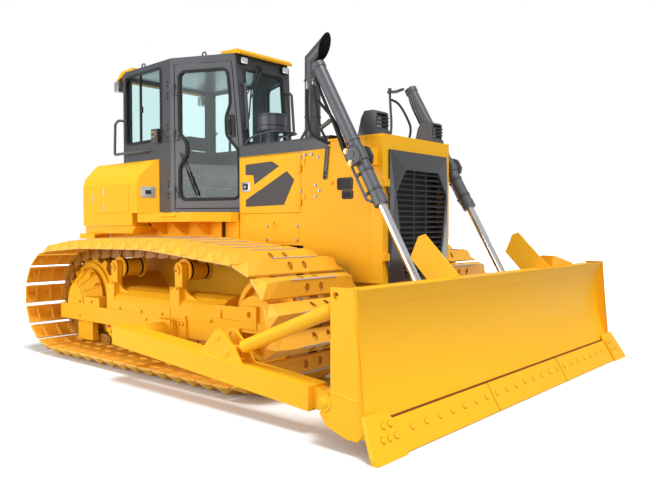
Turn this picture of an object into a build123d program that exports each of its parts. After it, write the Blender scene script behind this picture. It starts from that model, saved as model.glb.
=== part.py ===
from build123d import *
import os
from math import atan2, cos, degrees, hypot, pi, radians, sin, sqrt, tan

# Wide-track crawler bulldozer. Millimetres, +X to the blade, +Y to the left, +Z up.
# While it is modelled, X is measured from the sprocket axle and Z from the ground.
# Every node is moved along X at the end, so that the origin lies under the middle.

RUN_GAP = 0.3        # faces that touch across two moving bodies
FIT_GAP = 0.3        # pin in bore, on the radius
ROLL_GAP = 3         # straight links stand off the round idler by this
CARRIER_GAP = 1.5
MOVE_GAP = 8         # panels that swing past their frames

# --- tracks -------------------------------------------------------------------
TRACK_Y = 1150       # middle of each track
SHOE_WIDTH = 1100
SHOE_COUNT = 41
LUG_HEIGHT = 85      # ground face of the shoe to the tip of its ridge
SHOE_RISE = 65       # pin line to the ground face of the shoe
SHOE_PLATE = 22
SHOE_EDGE = 15       # thickness of a shoe at its rim
SHOE_GAP = 12
SHOE_HIP = 60        # the ridge falls off over this much at each end
PIN_RADIUS_REAR = 440
PIN_RADIUS_FRONT = 419
RAIL_DEPTH = 62      # pin line to the running face of the rails
RAIL_OUT = 105       # outer face of the rails from the track's middle
RAIL_IN = 55
IDLER_X = 2767
CARRIERS = [(660, 918), (1710, 928)]     # x, z of the carrier rollers
CARRIER_RADIUS = 92
ROLLER_RADIUS = 100
ROLLER_COUNT = 7
ROLLER_FIRST = 520
ROLLER_LAST = 2250
GROUND_PIN_Z = SHOE_RISE + LUG_HEIGHT
SPROCKET_Z = GROUND_PIN_Z + PIN_RADIUS_REAR
IDLER_Z = GROUND_PIN_Z + PIN_RADIUS_FRONT
ROLLER_Z = GROUND_PIN_Z + RAIL_DEPTH + ROLLER_RADIUS
TRACK_INNER_Y = TRACK_Y - SHOE_WIDTH / 2
TRACK_OUTER_Y = TRACK_Y + SHOE_WIDTH / 2

# --- track frames -------------------------------------------------------------
BEAM_OUTER_Y = 1400
BEAM_PLATE = 30
BEAM_BOTTOM = 350
BEAM_TOP = 510
BEAM_REAR_X = -300
BEAM_FRONT_X = 2600
BEAM_INNER_Y = 905
SEAT_IN = 135        # track's middle to the inner faces of the roller seats
SEAT_PLATE = 30
FORK_IN = 195        # track's middle to the inner faces of the idler fork
FORK_PLATE = 35
BRACKET_IN = 150     # track's middle to the carrier roller brackets
BRACKET_OUT = 245
COVER_TOP = 728      # rounded covers over the frame
POST_IN = 135        # track's middle to the inner faces of the carrier roller posts
WALL_Y = 560         # walls beside the hull, inside the tracks
WALL_FOOT = 1100
GUARD_CONE = (295, 145)                  # large and small radius of the final drive guard
GUARD_CONE_Y = (1245, 1385)

# --- main frame ---------------------------------------------------------------
HULL_HALF = 400
HULL_BOTTOM = 400
HULL_TOP = 1000
HULL_REAR_X = -470
HULL_FRONT_X = 3180
SHAFT_X = 1250       # cross shaft that carries the track frames
BAR_X = 2280         # equaliser bar
SHAFT_RADIUS = 65
ENGINE_BOTTOM = 700
ENGINE_FEET = (1850, 2860)

DRAWBAR_Z = 520
DRAWBAR_REACH = 150  # hull's rear wall to the pin
DRAWBAR_BORE = 27
DRAWBAR_GAP = 70
DRAWBAR_PLATE = 40

# --- push arms and blade ------------------------------------------------------
TRUNNION_X = 1690
TRUNNION_Z = 405
TRUNNION_RADIUS = 45
TRUNNION_TUBE = 78
ARM_IN_Y = 1760
ARM_OUT_Y = 1940
ARM_HEIGHT = 156
ARM_REAR_X = 1600
ARM_FRONT_X = 3850
NOSE_IN = 45         # the nose is this much narrower on each side
BALL_X = 4010
BALL_Z = 225
BALL_PIN = 30
BRACE_Y = 1850
BRACE_REAR = (3050, 435)
BRACE_FRONT = (4070, 838)
BRACE_PIN = 22
BLADE_HALF = 2051
BLADE_TOP_X = 4300
BLADE_TOP_Z = 954
BLADE_FOOT_X = 4365
BLADE_FOOT_Z = 178
EDGE_TIP_X = 4500
EDGE_TIP_Z = 4
BITE_X = 4518
BITE_HALF = 2108
BLADE_HOLLOW = 85
BLADE_PLATE = 16
BLADE_BACK_X = 4130
BLADE_CHEST_X = 4240
END_PLATE = 25
HOOK_X = 4171        # lifting eyes in the end plates
HOOK_Z = 918
HOOK_BORE = 22
GUARD_PLATE_Y = 776  # inner faces of the two guard plates on the blade
GUARD_PLATE = 16
END_BIT = 250
EDGE_MIDDLE = 620
EDGE_GAP = 4
EYE_POCKET = 60      # recess in the lower back box behind each cylinder's eye
EYE_ROOM = 150       # the top box ends this far inside the end plates
YOKE_BLOCK = (50, 70)                    # half length and half height

# --- lift cylinders -----------------------------------------------------------
LIFT_Y = 704
YOKE_X = 3287
YOKE_Z = 1903
EYE_X = 4078
EYE_Z = 488
BARREL_RADIUS = 56
ROD_RADIUS = 34
BARREL_ABOVE = 925   # yoke to the top of the barrel
BARREL_BELOW = 465   # yoke to the gland
EYE_RADIUS = 52
EYE_HALF = 38
YOKE_PIN = 40

# --- bonnet and cab -----------------------------------------------------------
HOOD_HALF = 500
HOOD_REAR_X = 1600
HOOD_SEAM_X = 2626    # upper end of the seam between bonnet and radiator guard
HOOD_SEAM_MIDDLE = (2544, 1458)
HOOD_SEAM_FOOT = (2470, 1120)
HOOD_FRONT_X = 2780
HOOD_SIDE_TOP = 2018
HOOD_EDGE = 2118     # where the dark band turns into the top
HOOD_SIDE_BOTTOM = 1441
SIDE_FOOT = 1150      # lower edge of the fixed side panels
HOOD_TOP = 2140
SHEET = 5
GUARD_HALF = 525
GUARD_FRONT_X = 3390
GUARD_TOP = 2094
GUARD_BOTTOM = 847
GUARD_SHEET = 20
RADIATOR_X = 3226
GRILLE_HALF = 470
GRILLE_TOP = 1966
GRILLE_PROUD = 50    # the grille's face stands in front of its frame
DECK_TOP = 1428
CAB_REAR_X = -230
CAB_WIDE_X = 740
CAB_FRONT_X = 1560
CAB_LEAN = 140       # the windscreen leans back this much
CAB_REAR_HALF = 650
CAB_WIDE_HALF = 700
CAB_FRONT_HALF = 335
CAB_ROOF = 3110
CAB_WALL = 45
CAB_FLOOR = DECK_TOP + 30
TANK_REAR_X = -696
TANK_HALF = 900
TANK_TOP = 2065
TANK_BOTTOM = DECK_TOP + RUN_GAP
BOX_BOTTOM = 1340
BOX_FRONT_X = 408    # outer front corner of the side boxes
BOX_NOSE_X = 520     # inner front corner
FENDER_TOP = 1470
FENDER_DEPTH = 95
FENDER_FRONT_X = 1326
FENDER_END = (1585, 600)

BOX_JOINT = 600      # where the rear tank meets the side boxes
OVERALL_REAR_X = TANK_REAR_X
OVERALL_FRONT_X = BITE_X
ORIGIN_X = (OVERALL_REAR_X + OVERALL_FRONT_X) / 2

LOW = (Align.CENTER, Align.CENTER, Align.MIN)


def block(x0, x1, y0, y1, z0, z1):
    return Pos(x0, y0, z0) * Box(x1 - x0, y1 - y0, z1 - z0, align=(Align.MIN,) * 3)


def side_plate(points, y0, y1):
    """An outline of (x, z) points, from y0 to y1."""
    face = make_face(Polyline(*[(x, y0, z) for x, z in points], close=True))
    return extrude(face, amount=y1 - y0, dir=(0, 1, 0))


def level_plate(points, z0, z1):
    """An outline of (x, y) points, from z0 to z1."""
    face = make_face(Polyline(*[(x, y, z0) for x, y in points], close=True))
    return extrude(face, amount=z1 - z0, dir=(0, 0, 1))


def cross_plate(points, x0, x1):
    """An outline of (y, z) points, from x0 to x1."""
    face = make_face(Polyline(*[(x0, y, z) for y, z in points], close=True))
    return extrude(face, amount=x1 - x0, dir=(1, 0, 0))


def bar(start, end, radius):
    start, end = Vector(*start), Vector(*end)
    span = end - start
    return Plane(origin=start, z_dir=span) * Cylinder(radius, span.length, align=LOW)


def across(x, z, y0, y1, radius):
    return bar((x, y0, z), (x, y1, z), radius)


def tube(points, radius, bend):
    """A round bar bent at each inner point."""
    path = FilletPolyline(*points, radius=bend)
    return sweep(Plane(origin=path @ 0, z_dir=path % 0) * Circle(radius), path=path)


def joined(shapes):
    total = shapes[0]
    for shape in shapes[1:]:
        total += shape
    return total


# --- hinges ---------------------------------------------------------------------
KNUCKLE_RADIUS = 12
KNUCKLE_LENGTH = 60
LEAF_LENGTH = 55
LEAF_THICK = 9


def hinge_axis(x, y, outward):
    """Where a hinge's pin stands, beside the point (x, y) on the outer face."""
    return (x + outward[0] * KNUCKLE_RADIUS, y + outward[1] * KNUCKLE_RADIUS)


def hinge_half(x, y, z0, toward, outward):
    """One knuckle and its leaf, from z0 upwards, on the side that toward points to."""
    def spot(along, out):
        return (x + along * toward[0] + out * outward[0], y + along * toward[1] + out * outward[1])
    step = MOVE_GAP
    leaf = [spot(0, 2), spot(step, 2), spot(step, -1), spot(LEAF_LENGTH, -1),
            spot(LEAF_LENGTH, LEAF_THICK), spot(0, LEAF_THICK)]
    pin = Pos(*hinge_axis(x, y, outward), z0) * Cylinder(KNUCKLE_RADIUS, KNUCKLE_LENGTH, align=LOW)
    return pin + level_plate(leaf, z0, z0 + KNUCKLE_LENGTH)


def hinge_halves(x, y, heights, toward, outward, door):
    """The door's halves or the frame's halves of a row of hinges."""
    away = (-toward[0], -toward[1])
    if door:
        return joined([hinge_half(x, y, z, toward, outward) for z in heights])
    lift = KNUCKLE_LENGTH + RUN_GAP
    return joined([hinge_half(x, y, z + lift, away, outward) for z in heights])


# --- the loop that the pins follow ---------------------------------------------
def loop_circles():
    circles = [(0, SPROCKET_Z, PIN_RADIUS_REAR)]
    circles += [(x, z, CARRIER_RADIUS + RAIL_DEPTH) for x, z in CARRIERS]
    return circles + [(IDLER_X, IDLER_Z, PIN_RADIUS_FRONT)]


def loop_pieces():
    """Straight and curved stretches, clockwise seen from the right: rear, top, front, bottom."""
    circles = loop_circles()
    count = len(circles)
    normals = []
    for i in range(count):
        (x0, z0, r0), (x1, z1, r1) = circles[i], circles[(i + 1) % count]
        span = hypot(x1 - x0, z1 - z0)
        heading = atan2(z1 - z0, x1 - x0)
        normals.append(heading + pi / 2 + atan2(r1 - r0, sqrt(span ** 2 - (r1 - r0) ** 2)))
    pieces = []
    for i in range(count):
        x, z, r = circles[i]
        enter, leave = normals[i - 1], normals[i]
        turn = (enter - leave) % (2 * pi)
        pieces.append(("arc", x, z, r, enter, turn))
        x1, z1, r1 = circles[(i + 1) % count]
        start = (x + r * cos(leave), z + r * sin(leave))
        end = (x1 + r1 * cos(leave), z1 + r1 * sin(leave))
        pieces.append(("line", start, end, leave))
    return pieces


def loop_length():
    total = 0
    for piece in loop_pieces():
        if piece[0] == "arc":
            total += piece[3] * piece[5]
        else:
            total += hypot(piece[2][0] - piece[1][0], piece[2][1] - piece[1][1])
    return total


def loop_point(distance, out):
    """The point at this distance along the loop, moved outwards by out."""
    distance %= loop_length()
    for piece in loop_pieces():
        if piece[0] == "arc":
            _, x, z, r, enter, turn = piece
            if distance <= r * turn:
                angle = enter - distance / r
                return (x + (r + out) * cos(angle), z + (r + out) * sin(angle))
            distance -= r * turn
        else:
            _, start, end, normal = piece
            length = hypot(end[0] - start[0], end[1] - start[1])
            if distance <= length:
                share = distance / length
                x = start[0] + share * (end[0] - start[0]) + out * cos(normal)
                z = start[1] + share * (end[1] - start[1]) + out * sin(normal)
                return (x, z)
            distance -= length
    return loop_point(0, out)


def loop_outline(out, parts=1):
    pitch = loop_length() / SHOE_COUNT
    return [loop_point(i * pitch / parts, out) for i in range(SHOE_COUNT * parts)]


def shoe():
    """One shoe over the middle of its link: X along the track, Z away from it."""
    half, wide = (loop_length() / SHOE_COUNT - SHOE_GAP) / 2, SHOE_WIDTH / 2
    foot, tip = SHOE_RISE - SHOE_PLATE, SHOE_RISE + LUG_HEIGHT
    rim = foot + SHOE_EDGE
    section = [(-half, foot), (half, foot), (half, rim), (0, tip), (-half, rim)]
    hips = [(wide, foot), (wide, rim + 5), (wide - SHOE_HIP, tip - 40), (wide - 3 * SHOE_HIP, tip - 8)]
    elevation = hips + [(0, tip)] + [(-y, z) for y, z in reversed(hips)]
    return side_plate(section, -wide, wide) & cross_plate(elevation, -half - 1, half + 1)


def link_place(index, y):
    """Where link number index lies: its middle on the pin line, facing outwards."""
    pitch = loop_length() / SHOE_COUNT
    (x0, z0), (x1, z1) = loop_point(index * pitch, 0), loop_point((index + 1) * pitch, 0)
    middle = Vector((x0 + x1) / 2, y, (z0 + z1) / 2)
    along = Vector(x1 - x0, 0, z1 - z0).normalized()
    return Plane(origin=middle, x_dir=along, z_dir=Vector(-along.Z, 0, along.X))


def track(side):
    """A closed loop of separate shoes on two rails of links."""
    y = side * TRACK_Y
    one = shoe()
    loop = [link_place(i, y).location * one for i in range(SHOE_COUNT)]
    rail_top = loop_outline(SHOE_RISE - SHOE_PLATE / 2)
    rail_foot = loop_outline(-RAIL_DEPTH, 2)
    for edge in (-1, 1):
        y0, y1 = sorted((y + edge * RAIL_IN, y + edge * RAIL_OUT))
        loop.append(side_plate(rail_top, y0, y1) - side_plate(rail_foot, y0, y1))
    return loop[-1].fuse(*loop[:-1])


def sprocket(side):
    y = side * TRACK_Y
    teeth = []
    tooth_count = 13
    for i in range(tooth_count):
        angle = 2 * pi * i / tooth_count
        for step, radius in ((-0.28, 385), (-0.12, 452), (0.12, 452), (0.28, 385)):
            a = angle + step * 2 * pi / tooth_count
            teeth.append((radius * cos(a), SPROCKET_Z + radius * sin(a)))
    rim = side_plate(teeth, y - 34, y + 34)
    flange = across(0, SPROCKET_Z, side * (TRACK_Y + 30), side * (TRACK_Y + 60), 350)
    return rim + flange + across(0, SPROCKET_Z, side * 560, side * (GUARD_CONE_Y[0] - 15), 240)


def idler(side):
    y = side * TRACK_Y
    tread = PIN_RADIUS_FRONT - RAIL_DEPTH - ROLL_GAP
    wheel = across(IDLER_X, IDLER_Z, y - 110, y + 110, tread)
    wheel += across(IDLER_X, IDLER_Z, y - RAIL_IN + 5, y + RAIL_IN - 5, tread + 24)
    for edge in (-1, 1):
        wheel -= Plane(origin=(IDLER_X, y + edge * 110, IDLER_Z), z_dir=(0, -edge, 0)) * (
            Cylinder(tread - 45, 60, align=LOW) - Cylinder(120, 60, align=LOW))
    return wheel + across(IDLER_X, IDLER_Z, y - FORK_IN + RUN_GAP, y + FORK_IN - RUN_GAP, 45)


def roller_spots():
    step = (ROLLER_LAST - ROLLER_FIRST) / (ROLLER_COUNT - 1)
    return [(ROLLER_FIRST + i * step, ROLLER_Z) for i in range(ROLLER_COUNT)]


def roller(x, y, z, radius):
    body = across(x, z, y - 110, y + 110, radius)
    for edge in (-1, 1):
        y0, y1 = sorted((y + edge * 112, y + edge * 126))
        body += across(x, z, y0, y1, radius + 18)
    return body + across(x, z, y - 128, y + 128, 40)


def rollers(side):
    y = side * TRACK_Y
    shapes = []
    for x, z in roller_spots():
        body = roller(x, y, z, ROLLER_RADIUS - RUN_GAP)
        shapes.append(body + across(x, z, y - SEAT_IN + RUN_GAP, y + SEAT_IN - RUN_GAP, 40))
    for x, z in CARRIERS:
        body = roller(x, y, z, CARRIER_RADIUS - CARRIER_GAP)
        shapes.append(body + across(x, z, y, y + side * (POST_IN - RUN_GAP), 40))
    return joined(shapes)


def final_guard(side):
    """Half cone over the outer end of the final drive, with ribs and a lug in front."""
    y0, y1 = GUARD_CONE_Y
    wide, narrow = GUARD_CONE
    outward = Plane(origin=(0, side * y0, SPROCKET_Z), x_dir=(1, 0, 0), z_dir=(0, side, 0))
    cone = outward * Cone(wide, narrow, y1 - y0, align=LOW)
    for angle in (30, 60, 90, 120, 150):
        a = radians(angle)
        rib = Plane(origin=(0, side * y0, SPROCKET_Z), x_dir=(cos(a), 0, sin(a)), z_dir=(0, side, 0))
        cone += rib * Pos(wide - 60, 0, 0) * Box(118, 12, 60, align=LOW)
    cone &= block(-400, 400, *sorted((side * y0, side * (y1 + 5))), BEAM_TOP - 20, 1000)
    lug = [(-155, BEAM_TOP - 5), (-134, 634), (-20, 726), (32, 726), (107, 665), (170, BEAM_TOP - 5)]
    return cone + side_plate(lug, *sorted((side * (y1 - 20), side * (y1 + 10))))


def carrier_bracket(side, x, z):
    """Flared post on the frame that holds one carrier roller."""
    foot, waist, top = BEAM_TOP - 5, z - 145, z + 75
    back, front = TRACK_Y + BRACKET_IN - 50, BEAM_OUTER_Y - 8

    def plate(points, y0, y1):
        return side_plate(points, *sorted((side * y0, side * y1)))

    post = [(x - 45, waist - 5), (x + 62, waist - 5), (x + 62, top - 30), (x + 38, top), (x - 22, top),
            (x - 45, top - 30)]
    base = [(x - 50, foot), (x + 84, foot), (x + 84, waist), (x - 50, waist)]
    gusset = [(x + 80, foot), (x + 300, foot), (x + 262, COVER_TOP - 40), (x + 150, waist - 60), (x + 80, waist)]
    bracket = plate(post, TRACK_Y + POST_IN, TRACK_Y + BRACKET_OUT - 55)
    bracket += plate(base, back + 50, front) + plate(gusset, back + 60, back + 85)
    return bracket + across(x, z, side * (TRACK_Y + POST_IN), side * (TRACK_Y + BRACKET_OUT - 40), 34)


def frame_cover(side, x0, x1):
    """Rounded cover over the track frame between two brackets."""
    edge, top = BEAM_OUTER_Y - 4, COVER_TOP
    section = [(905, BEAM_TOP - 5), (925, top - 88), (1000, top - 28), (1080, top), (edge - 166, top),
               (edge - 90, top - 22), (edge - 28, top - 72), (edge, top - 122), (edge, BEAM_TOP - 5)]
    return cross_plate([(side * y, z) for y, z in section], x0, x1)


def track_frame(side):
    """Outer beam, box, covers, idler fork, roller seats, carrier brackets, arm trunnion."""
    near, far = BEAM_INNER_Y, BEAM_OUTER_Y
    rear, front = 480, 2330

    def box(x0, x1, y0, y1, z0, z1):
        return block(x0, x1, *sorted((side * y0, side * y1)), z0, z1)

    frame = box(BEAM_REAR_X, BEAM_FRONT_X, far - BEAM_PLATE, far, BEAM_BOTTOM, BEAM_TOP)
    frame += box(rear, front, near, far, 450, BEAM_TOP)
    frame += box(rear, front, near, near + BEAM_PLATE, 330, 460)
    for edge in (-1, 1):
        seat = sorted((TRACK_Y + edge * SEAT_IN, TRACK_Y + edge * (SEAT_IN + SEAT_PLATE)))
        frame += box(rear, front, *seat, 300, 460)
        for x, z in roller_spots():
            frame += across(x, z, side * seat[0], side * seat[1], 62)
        fork = sorted((TRACK_Y + edge * FORK_IN, TRACK_Y + edge * (FORK_IN + FORK_PLATE)))
        frame += box(front - 60, IDLER_X + 110, *fork, 470, 670)
    frame += final_guard(side)
    frame += box(175, 470, far - 150, far - 5, BEAM_TOP - 5, 600)
    frame += box(-60, 230, far - 135, far - 70, 135, BEAM_TOP - 10) + box(-60, 230, far - 75, far - 20, 400, 480)
    for x, z in CARRIERS:
        frame += carrier_bracket(side, x, z)
    (first, _), (second, _) = CARRIERS
    frame += frame_cover(side, first + 80, second - 45) + frame_cover(side, second + 80, front + 30)
    frame += box(front - 10, IDLER_X + 160, far - 50, far, BEAM_TOP - 10, 560)
    frame += across(IDLER_X, IDLER_Z - 30, side * (far - 45), side * (far - 20), 235) & box(
        IDLER_X - 300, IDLER_X + 160, far - 50, far - 15, BEAM_TOP - 20, 900)
    lug = box(IDLER_X - 130, IDLER_X + 40, far - 30, far + 8, BEAM_TOP, 690)
    frame += lug - across(IDLER_X - 45, 620, side * (far - 40), side * (far + 20), 24)
    frame += box(TRUNNION_X - 95, TRUNNION_X + 235, far - 5, far + 20, 320, BEAM_TOP)
    frame += box(TRUNNION_X - 95, TRUNNION_X + 95, far - 5, far + 85, 305, 505)
    frame += box(TRUNNION_X + 90, TRUNNION_X + 115, far - 5, far + 75, 320, 490)
    frame += box(TRUNNION_X + 90, TRUNNION_X + 235, far + 15, far + 75, 320, 340)
    frame += across(TRUNNION_X, TRUNNION_Z, side * (far + 80), side * (ARM_IN_Y - 12), TRUNNION_TUBE)
    frame += across(TRUNNION_X, TRUNNION_Z, side * (far + 80), side * (ARM_OUT_Y - 42),
                    TRUNNION_RADIUS)
    return frame


def main_frame():
    hull = block(HULL_REAR_X, 450, -HULL_HALF, HULL_HALF, HULL_BOTTOM + 30, HULL_TOP)
    hull += block(400, HULL_FRONT_X, -HULL_HALF, HULL_HALF, HULL_BOTTOM, HULL_BOTTOM + 25)
    for side in (-1, 1):
        y0, y1 = sorted((side * (HULL_HALF - 60), side * HULL_HALF))
        hull += block(400, HULL_FRONT_X, y0, y1, HULL_BOTTOM, HULL_TOP - 80)
        hull += across(0, SPROCKET_Z, side * 350, side * 560, 230)
        for x in (1660, 2080, 2600):
            hull += block(x - 60, x + 60, y0, y1, HULL_TOP - 90, SIDE_FOOT + 60)
            out = sorted((side * (HULL_HALF - 60), side * (HOOD_HALF - 30 - RUN_GAP)))
            hull += block(x - 60, x + 60, *out, SIDE_FOOT, SIDE_FOOT + 60)
    hull += block(HULL_FRONT_X - 200, GUARD_FRONT_X, -HULL_HALF, HULL_HALF, HULL_BOTTOM,
                  GUARD_BOTTOM - RUN_GAP)
    for x in ENGINE_FEET:
        hull += block(x - 50, x + 50, -HULL_HALF, HULL_HALF, ENGINE_BOTTOM - 80, ENGINE_BOTTOM - RUN_GAP)
    hull += block(1100, 1400, -HULL_HALF, HULL_HALF, 480, 640)
    hull += across(SHAFT_X, 560, -BEAM_INNER_Y, BEAM_INNER_Y, SHAFT_RADIUS)
    hull += block(BAR_X - 60, BAR_X + 60, -BEAM_INNER_Y, BEAM_INNER_Y, 455, 510)
    return hull


def drawbar():
    """Two plates behind the hull with a bore for a towing pin."""
    pin_x = HULL_REAR_X - DRAWBAR_REACH
    bar_ends = []
    for edge in (-1, 1):
        z0 = DRAWBAR_Z + edge * DRAWBAR_GAP / 2
        z0, z1 = sorted((z0, z0 + edge * DRAWBAR_PLATE))
        ear = block(pin_x, HULL_REAR_X, -80, 80, z0, z1)
        ear += Pos(pin_x, 0, z0) * Cylinder(80, z1 - z0, align=LOW)
        bar_ends.append(ear - Pos(pin_x, 0, z0 - 1) * Cylinder(DRAWBAR_BORE, z1 - z0 + 2, align=LOW))
    outer = DRAWBAR_GAP / 2 + DRAWBAR_PLATE
    root = block(HULL_REAR_X - 60, HULL_REAR_X, -130, 130, DRAWBAR_Z - outer, DRAWBAR_Z + outer)
    return joined(bar_ends) + root


STEP_HALF = 950      # outer edge of the steps behind the tracks' fenders
STEP_TOP = 1251


def rear_deck():
    """Floor over the tracks, its riser on the hull, hanging brackets and rear steps."""
    deck = block(TANK_REAR_X + 40, 400, -TANK_HALF + 200, TANK_HALF - 200, DECK_TOP - 48, DECK_TOP)
    wide, nose_x, nose_y = TANK_HALF - 100, FENDER_END[0] - 25, FENDER_END[1] - 10
    front = [(400, wide), (FENDER_FRONT_X + 55, wide), (nose_x, nose_y)]
    front += [(x, -y) for x, y in reversed(front)]
    deck += level_plate(front, DECK_TOP - 48, DECK_TOP)
    deck += block(HULL_REAR_X + 60, 500, -HULL_HALF + 40, HULL_HALF - 40, HULL_TOP + RUN_GAP, DECK_TOP - 40)
    low = DECK_TOP - 48
    for side in (-1, 1):
        y0, y1 = sorted((side * WALL_Y, side * (WALL_Y + 14)))
        deck += block(TANK_REAR_X + 40, 1400, y0, y1, WALL_FOOT, BOX_BOTTOM - 20)
        deck += block(400, 1400, y0, y1, WALL_FOOT, low + 5)
        deck += block(HULL_REAR_X + 60, 1400, *sorted((side * 300, side * WALL_Y)), WALL_FOOT + 100, WALL_FOOT + 114)
        bracket = [(300, low + 5), (TANK_HALF - 110, low + 5), (TANK_HALF - 150, low - 40), (620, low - 130),
                   (430, low - 150), (300, low - 330)]
        for x in (470, 840, 1210):
            deck += cross_plate([(side * y, z) for y, z in bracket], x, x + 14)
        deck += block(470, 1224, *sorted((side * 300, side * 314)), low - 330, low + 5)
        step_y = sorted((side * WALL_Y, side * STEP_HALF))
        step = block(TANK_REAR_X, -380, *step_y, STEP_TOP - 60, STEP_TOP)
        hollow = sorted((side * (WALL_Y - 1), side * (STEP_HALF - 12)))
        deck += step - block(TANK_REAR_X + 12, -379, *hollow, STEP_TOP - 61, STEP_TOP - 14)
    return deck


def fender(side):
    """Side walkway beside the cab: a top plate with a deep lip along its outer edges."""
    inner, lip = CAB_WIDE_HALF + MOVE_GAP, 12
    end_x, end_y = FENDER_END
    start = BOX_FRONT_X + RUN_GAP + 110
    outline = [(start, inner), (start - 105, TANK_HALF), (FENDER_FRONT_X, TANK_HALF), (end_x, end_y),
               (end_x, cab_half(CAB_FRONT_X) + MOVE_GAP), (CAB_WIDE_X, inner)]
    top = level_plate([(x, side * y) for x, y in outline], FENDER_TOP - 18, FENDER_TOP)
    edge = [(start - 105, TANK_HALF), (FENDER_FRONT_X, TANK_HALF), (end_x, end_y), (end_x, HOOD_HALF),
            (end_x - lip, HOOD_HALF), (end_x - lip, end_y - lip),
            (FENDER_FRONT_X - lip / 2, TANK_HALF - lip), (start - 99, TANK_HALF - lip)]
    beam = level_plate([(x, side * y) for x, y in edge], FENDER_TOP - FENDER_DEPTH, FENDER_TOP - 10)
    seat_y = sorted((side * (TANK_HALF - 105), side * (TANK_HALF - 5)))
    seat = block(start, FENDER_FRONT_X - 60, *seat_y, DECK_TOP + RUN_GAP, FENDER_TOP - 10)
    ledge = block(start, FENDER_FRONT_X - 60, *sorted((side * (TANK_HALF - 99), side * (TANK_HALF - 5))),
                  FENDER_TOP - FENDER_DEPTH, DECK_TOP + 5)
    return top + beam + seat + ledge


def engine():
    return block(1750, 2960, -300, 300, ENGINE_BOTTOM, 1900)


def hood():
    """Dark bonnet: an upright band along each side and the top with rounded edges."""
    half, top, edge = HOOD_HALF, HOOD_TOP, HOOD_EDGE

    def section(inset, foot):
        left = [(half - inset, foot), (half - inset, edge), (half - 12, top - 6 - inset / 2), (half - 40, top - inset)]
        return [(-y, z) for y, z in left] + list(reversed(left))

    shell = cross_plate(section(0, HOOD_SIDE_TOP), HOOD_REAR_X, HOOD_FRONT_X)
    return shell - cross_plate(section(SHEET, HOOD_SIDE_TOP - 1), HOOD_REAR_X - 1, HOOD_FRONT_X + 1)


ENGINE_DOOR_REAR = HOOD_REAR_X + 3
ENGINE_DOOR_FRONT = 2445
ENGINE_DOOR_FOOT = HOOD_SIDE_BOTTOM + 10
ENGINE_DOOR_HEAD = HOOD_SIDE_TOP - 6
ENGINE_DOOR_SHEET = 8
ENGINE_DOOR_SILL = 15
PANEL_GAP = 5
ENGINE_HINGES = (ENGINE_DOOR_FOOT + 60, ENGINE_DOOR_HEAD - 190)


def engine_hinges(side, door):
    return hinge_halves(ENGINE_DOOR_FRONT - MOVE_GAP / 2, side * HOOD_HALF, ENGINE_HINGES,
                        (-1, 0), (0, side), door)


def seam_outline(top, foot):
    """The rear edge of the radiator guard, from its top down to its foot, as (x, z)."""
    return [(HOOD_SEAM_X, top), HOOD_SEAM_MIDDLE, (HOOD_SEAM_FOOT[0] + 22, 1260), HOOD_SEAM_FOOT,
            (HOOD_SEAM_FOOT[0], foot)]


def side_frame(side):
    """Fixed sheet round the engine door, back to the cab below it, with a cover plate."""
    y0, y1 = sorted((side * (HOOD_HALF - 30), side * HOOD_HALF))
    seam = [(x - RUN_GAP, z) for x, z in seam_outline(HOOD_SIDE_TOP - RUN_GAP, SIDE_FOOT)]
    outline = seam + [(1478, SIDE_FOOT), (1478, DECK_TOP - 60), (HOOD_REAR_X, DECK_TOP - 60),
                      (HOOD_REAR_X, HOOD_SIDE_TOP - RUN_GAP)]
    panel = side_plate(outline, y0, y1)
    cut = block(ENGINE_DOOR_REAR, ENGINE_DOOR_FRONT, y0 - 1, y1 + 1, ENGINE_DOOR_FOOT, ENGINE_DOOR_HEAD)
    sill = sorted((side * (HOOD_HALF - 30), side * (HOOD_HALF - ENGINE_DOOR_SHEET - MOVE_GAP)))
    ledge = block(ENGINE_DOOR_REAR - 1, ENGINE_DOOR_FRONT, *sill, ENGINE_DOOR_FOOT - 1,
                  ENGINE_DOOR_FOOT + ENGINE_DOOR_SILL)
    ledge += block(ENGINE_DOOR_REAR - 1, ENGINE_DOOR_REAR + ENGINE_DOOR_SILL, *sill, ENGINE_DOOR_FOOT,
                   ENGINE_DOOR_HEAD)
    cover = block(1979, 2418, *sorted((side * HOOD_HALF, side * (HOOD_HALF + 4))), 1180, 1350)
    return panel - cut + ledge + cover + engine_hinges(side, False)


def engine_door(side):
    """Sheet door with two meshed openings, hinged at its front edge."""
    gap = PANEL_GAP
    y0, y1 = sorted((side * (HOOD_HALF - ENGINE_DOOR_SHEET), side * HOOD_HALF))
    leaf = block(ENGINE_DOOR_REAR + gap, ENGINE_DOOR_FRONT - gap, y0, y1, ENGINE_DOOR_FOOT + gap,
                 ENGINE_DOOR_HEAD - gap)
    upper = [(1687, 1940), (2065, 1950), (2164, 1899), (1816, 1736), (1802, 1830), (1687, 1836)]
    lower = [(2266, 1849), (2363, 1763), (2223, 1528), (1685, 1519), (1685, 1588)]
    for outline in (upper, lower):
        leaf -= side_plate(outline, y0 - 1, y1 + 1)
        inner = sorted((side * (HOOD_HALF - ENGINE_DOOR_SHEET), side * (HOOD_HALF - ENGINE_DOOR_SHEET + 4)))
        leaf += side_plate(outline, *inner)
    return leaf + engine_hinges(side, True)


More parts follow.
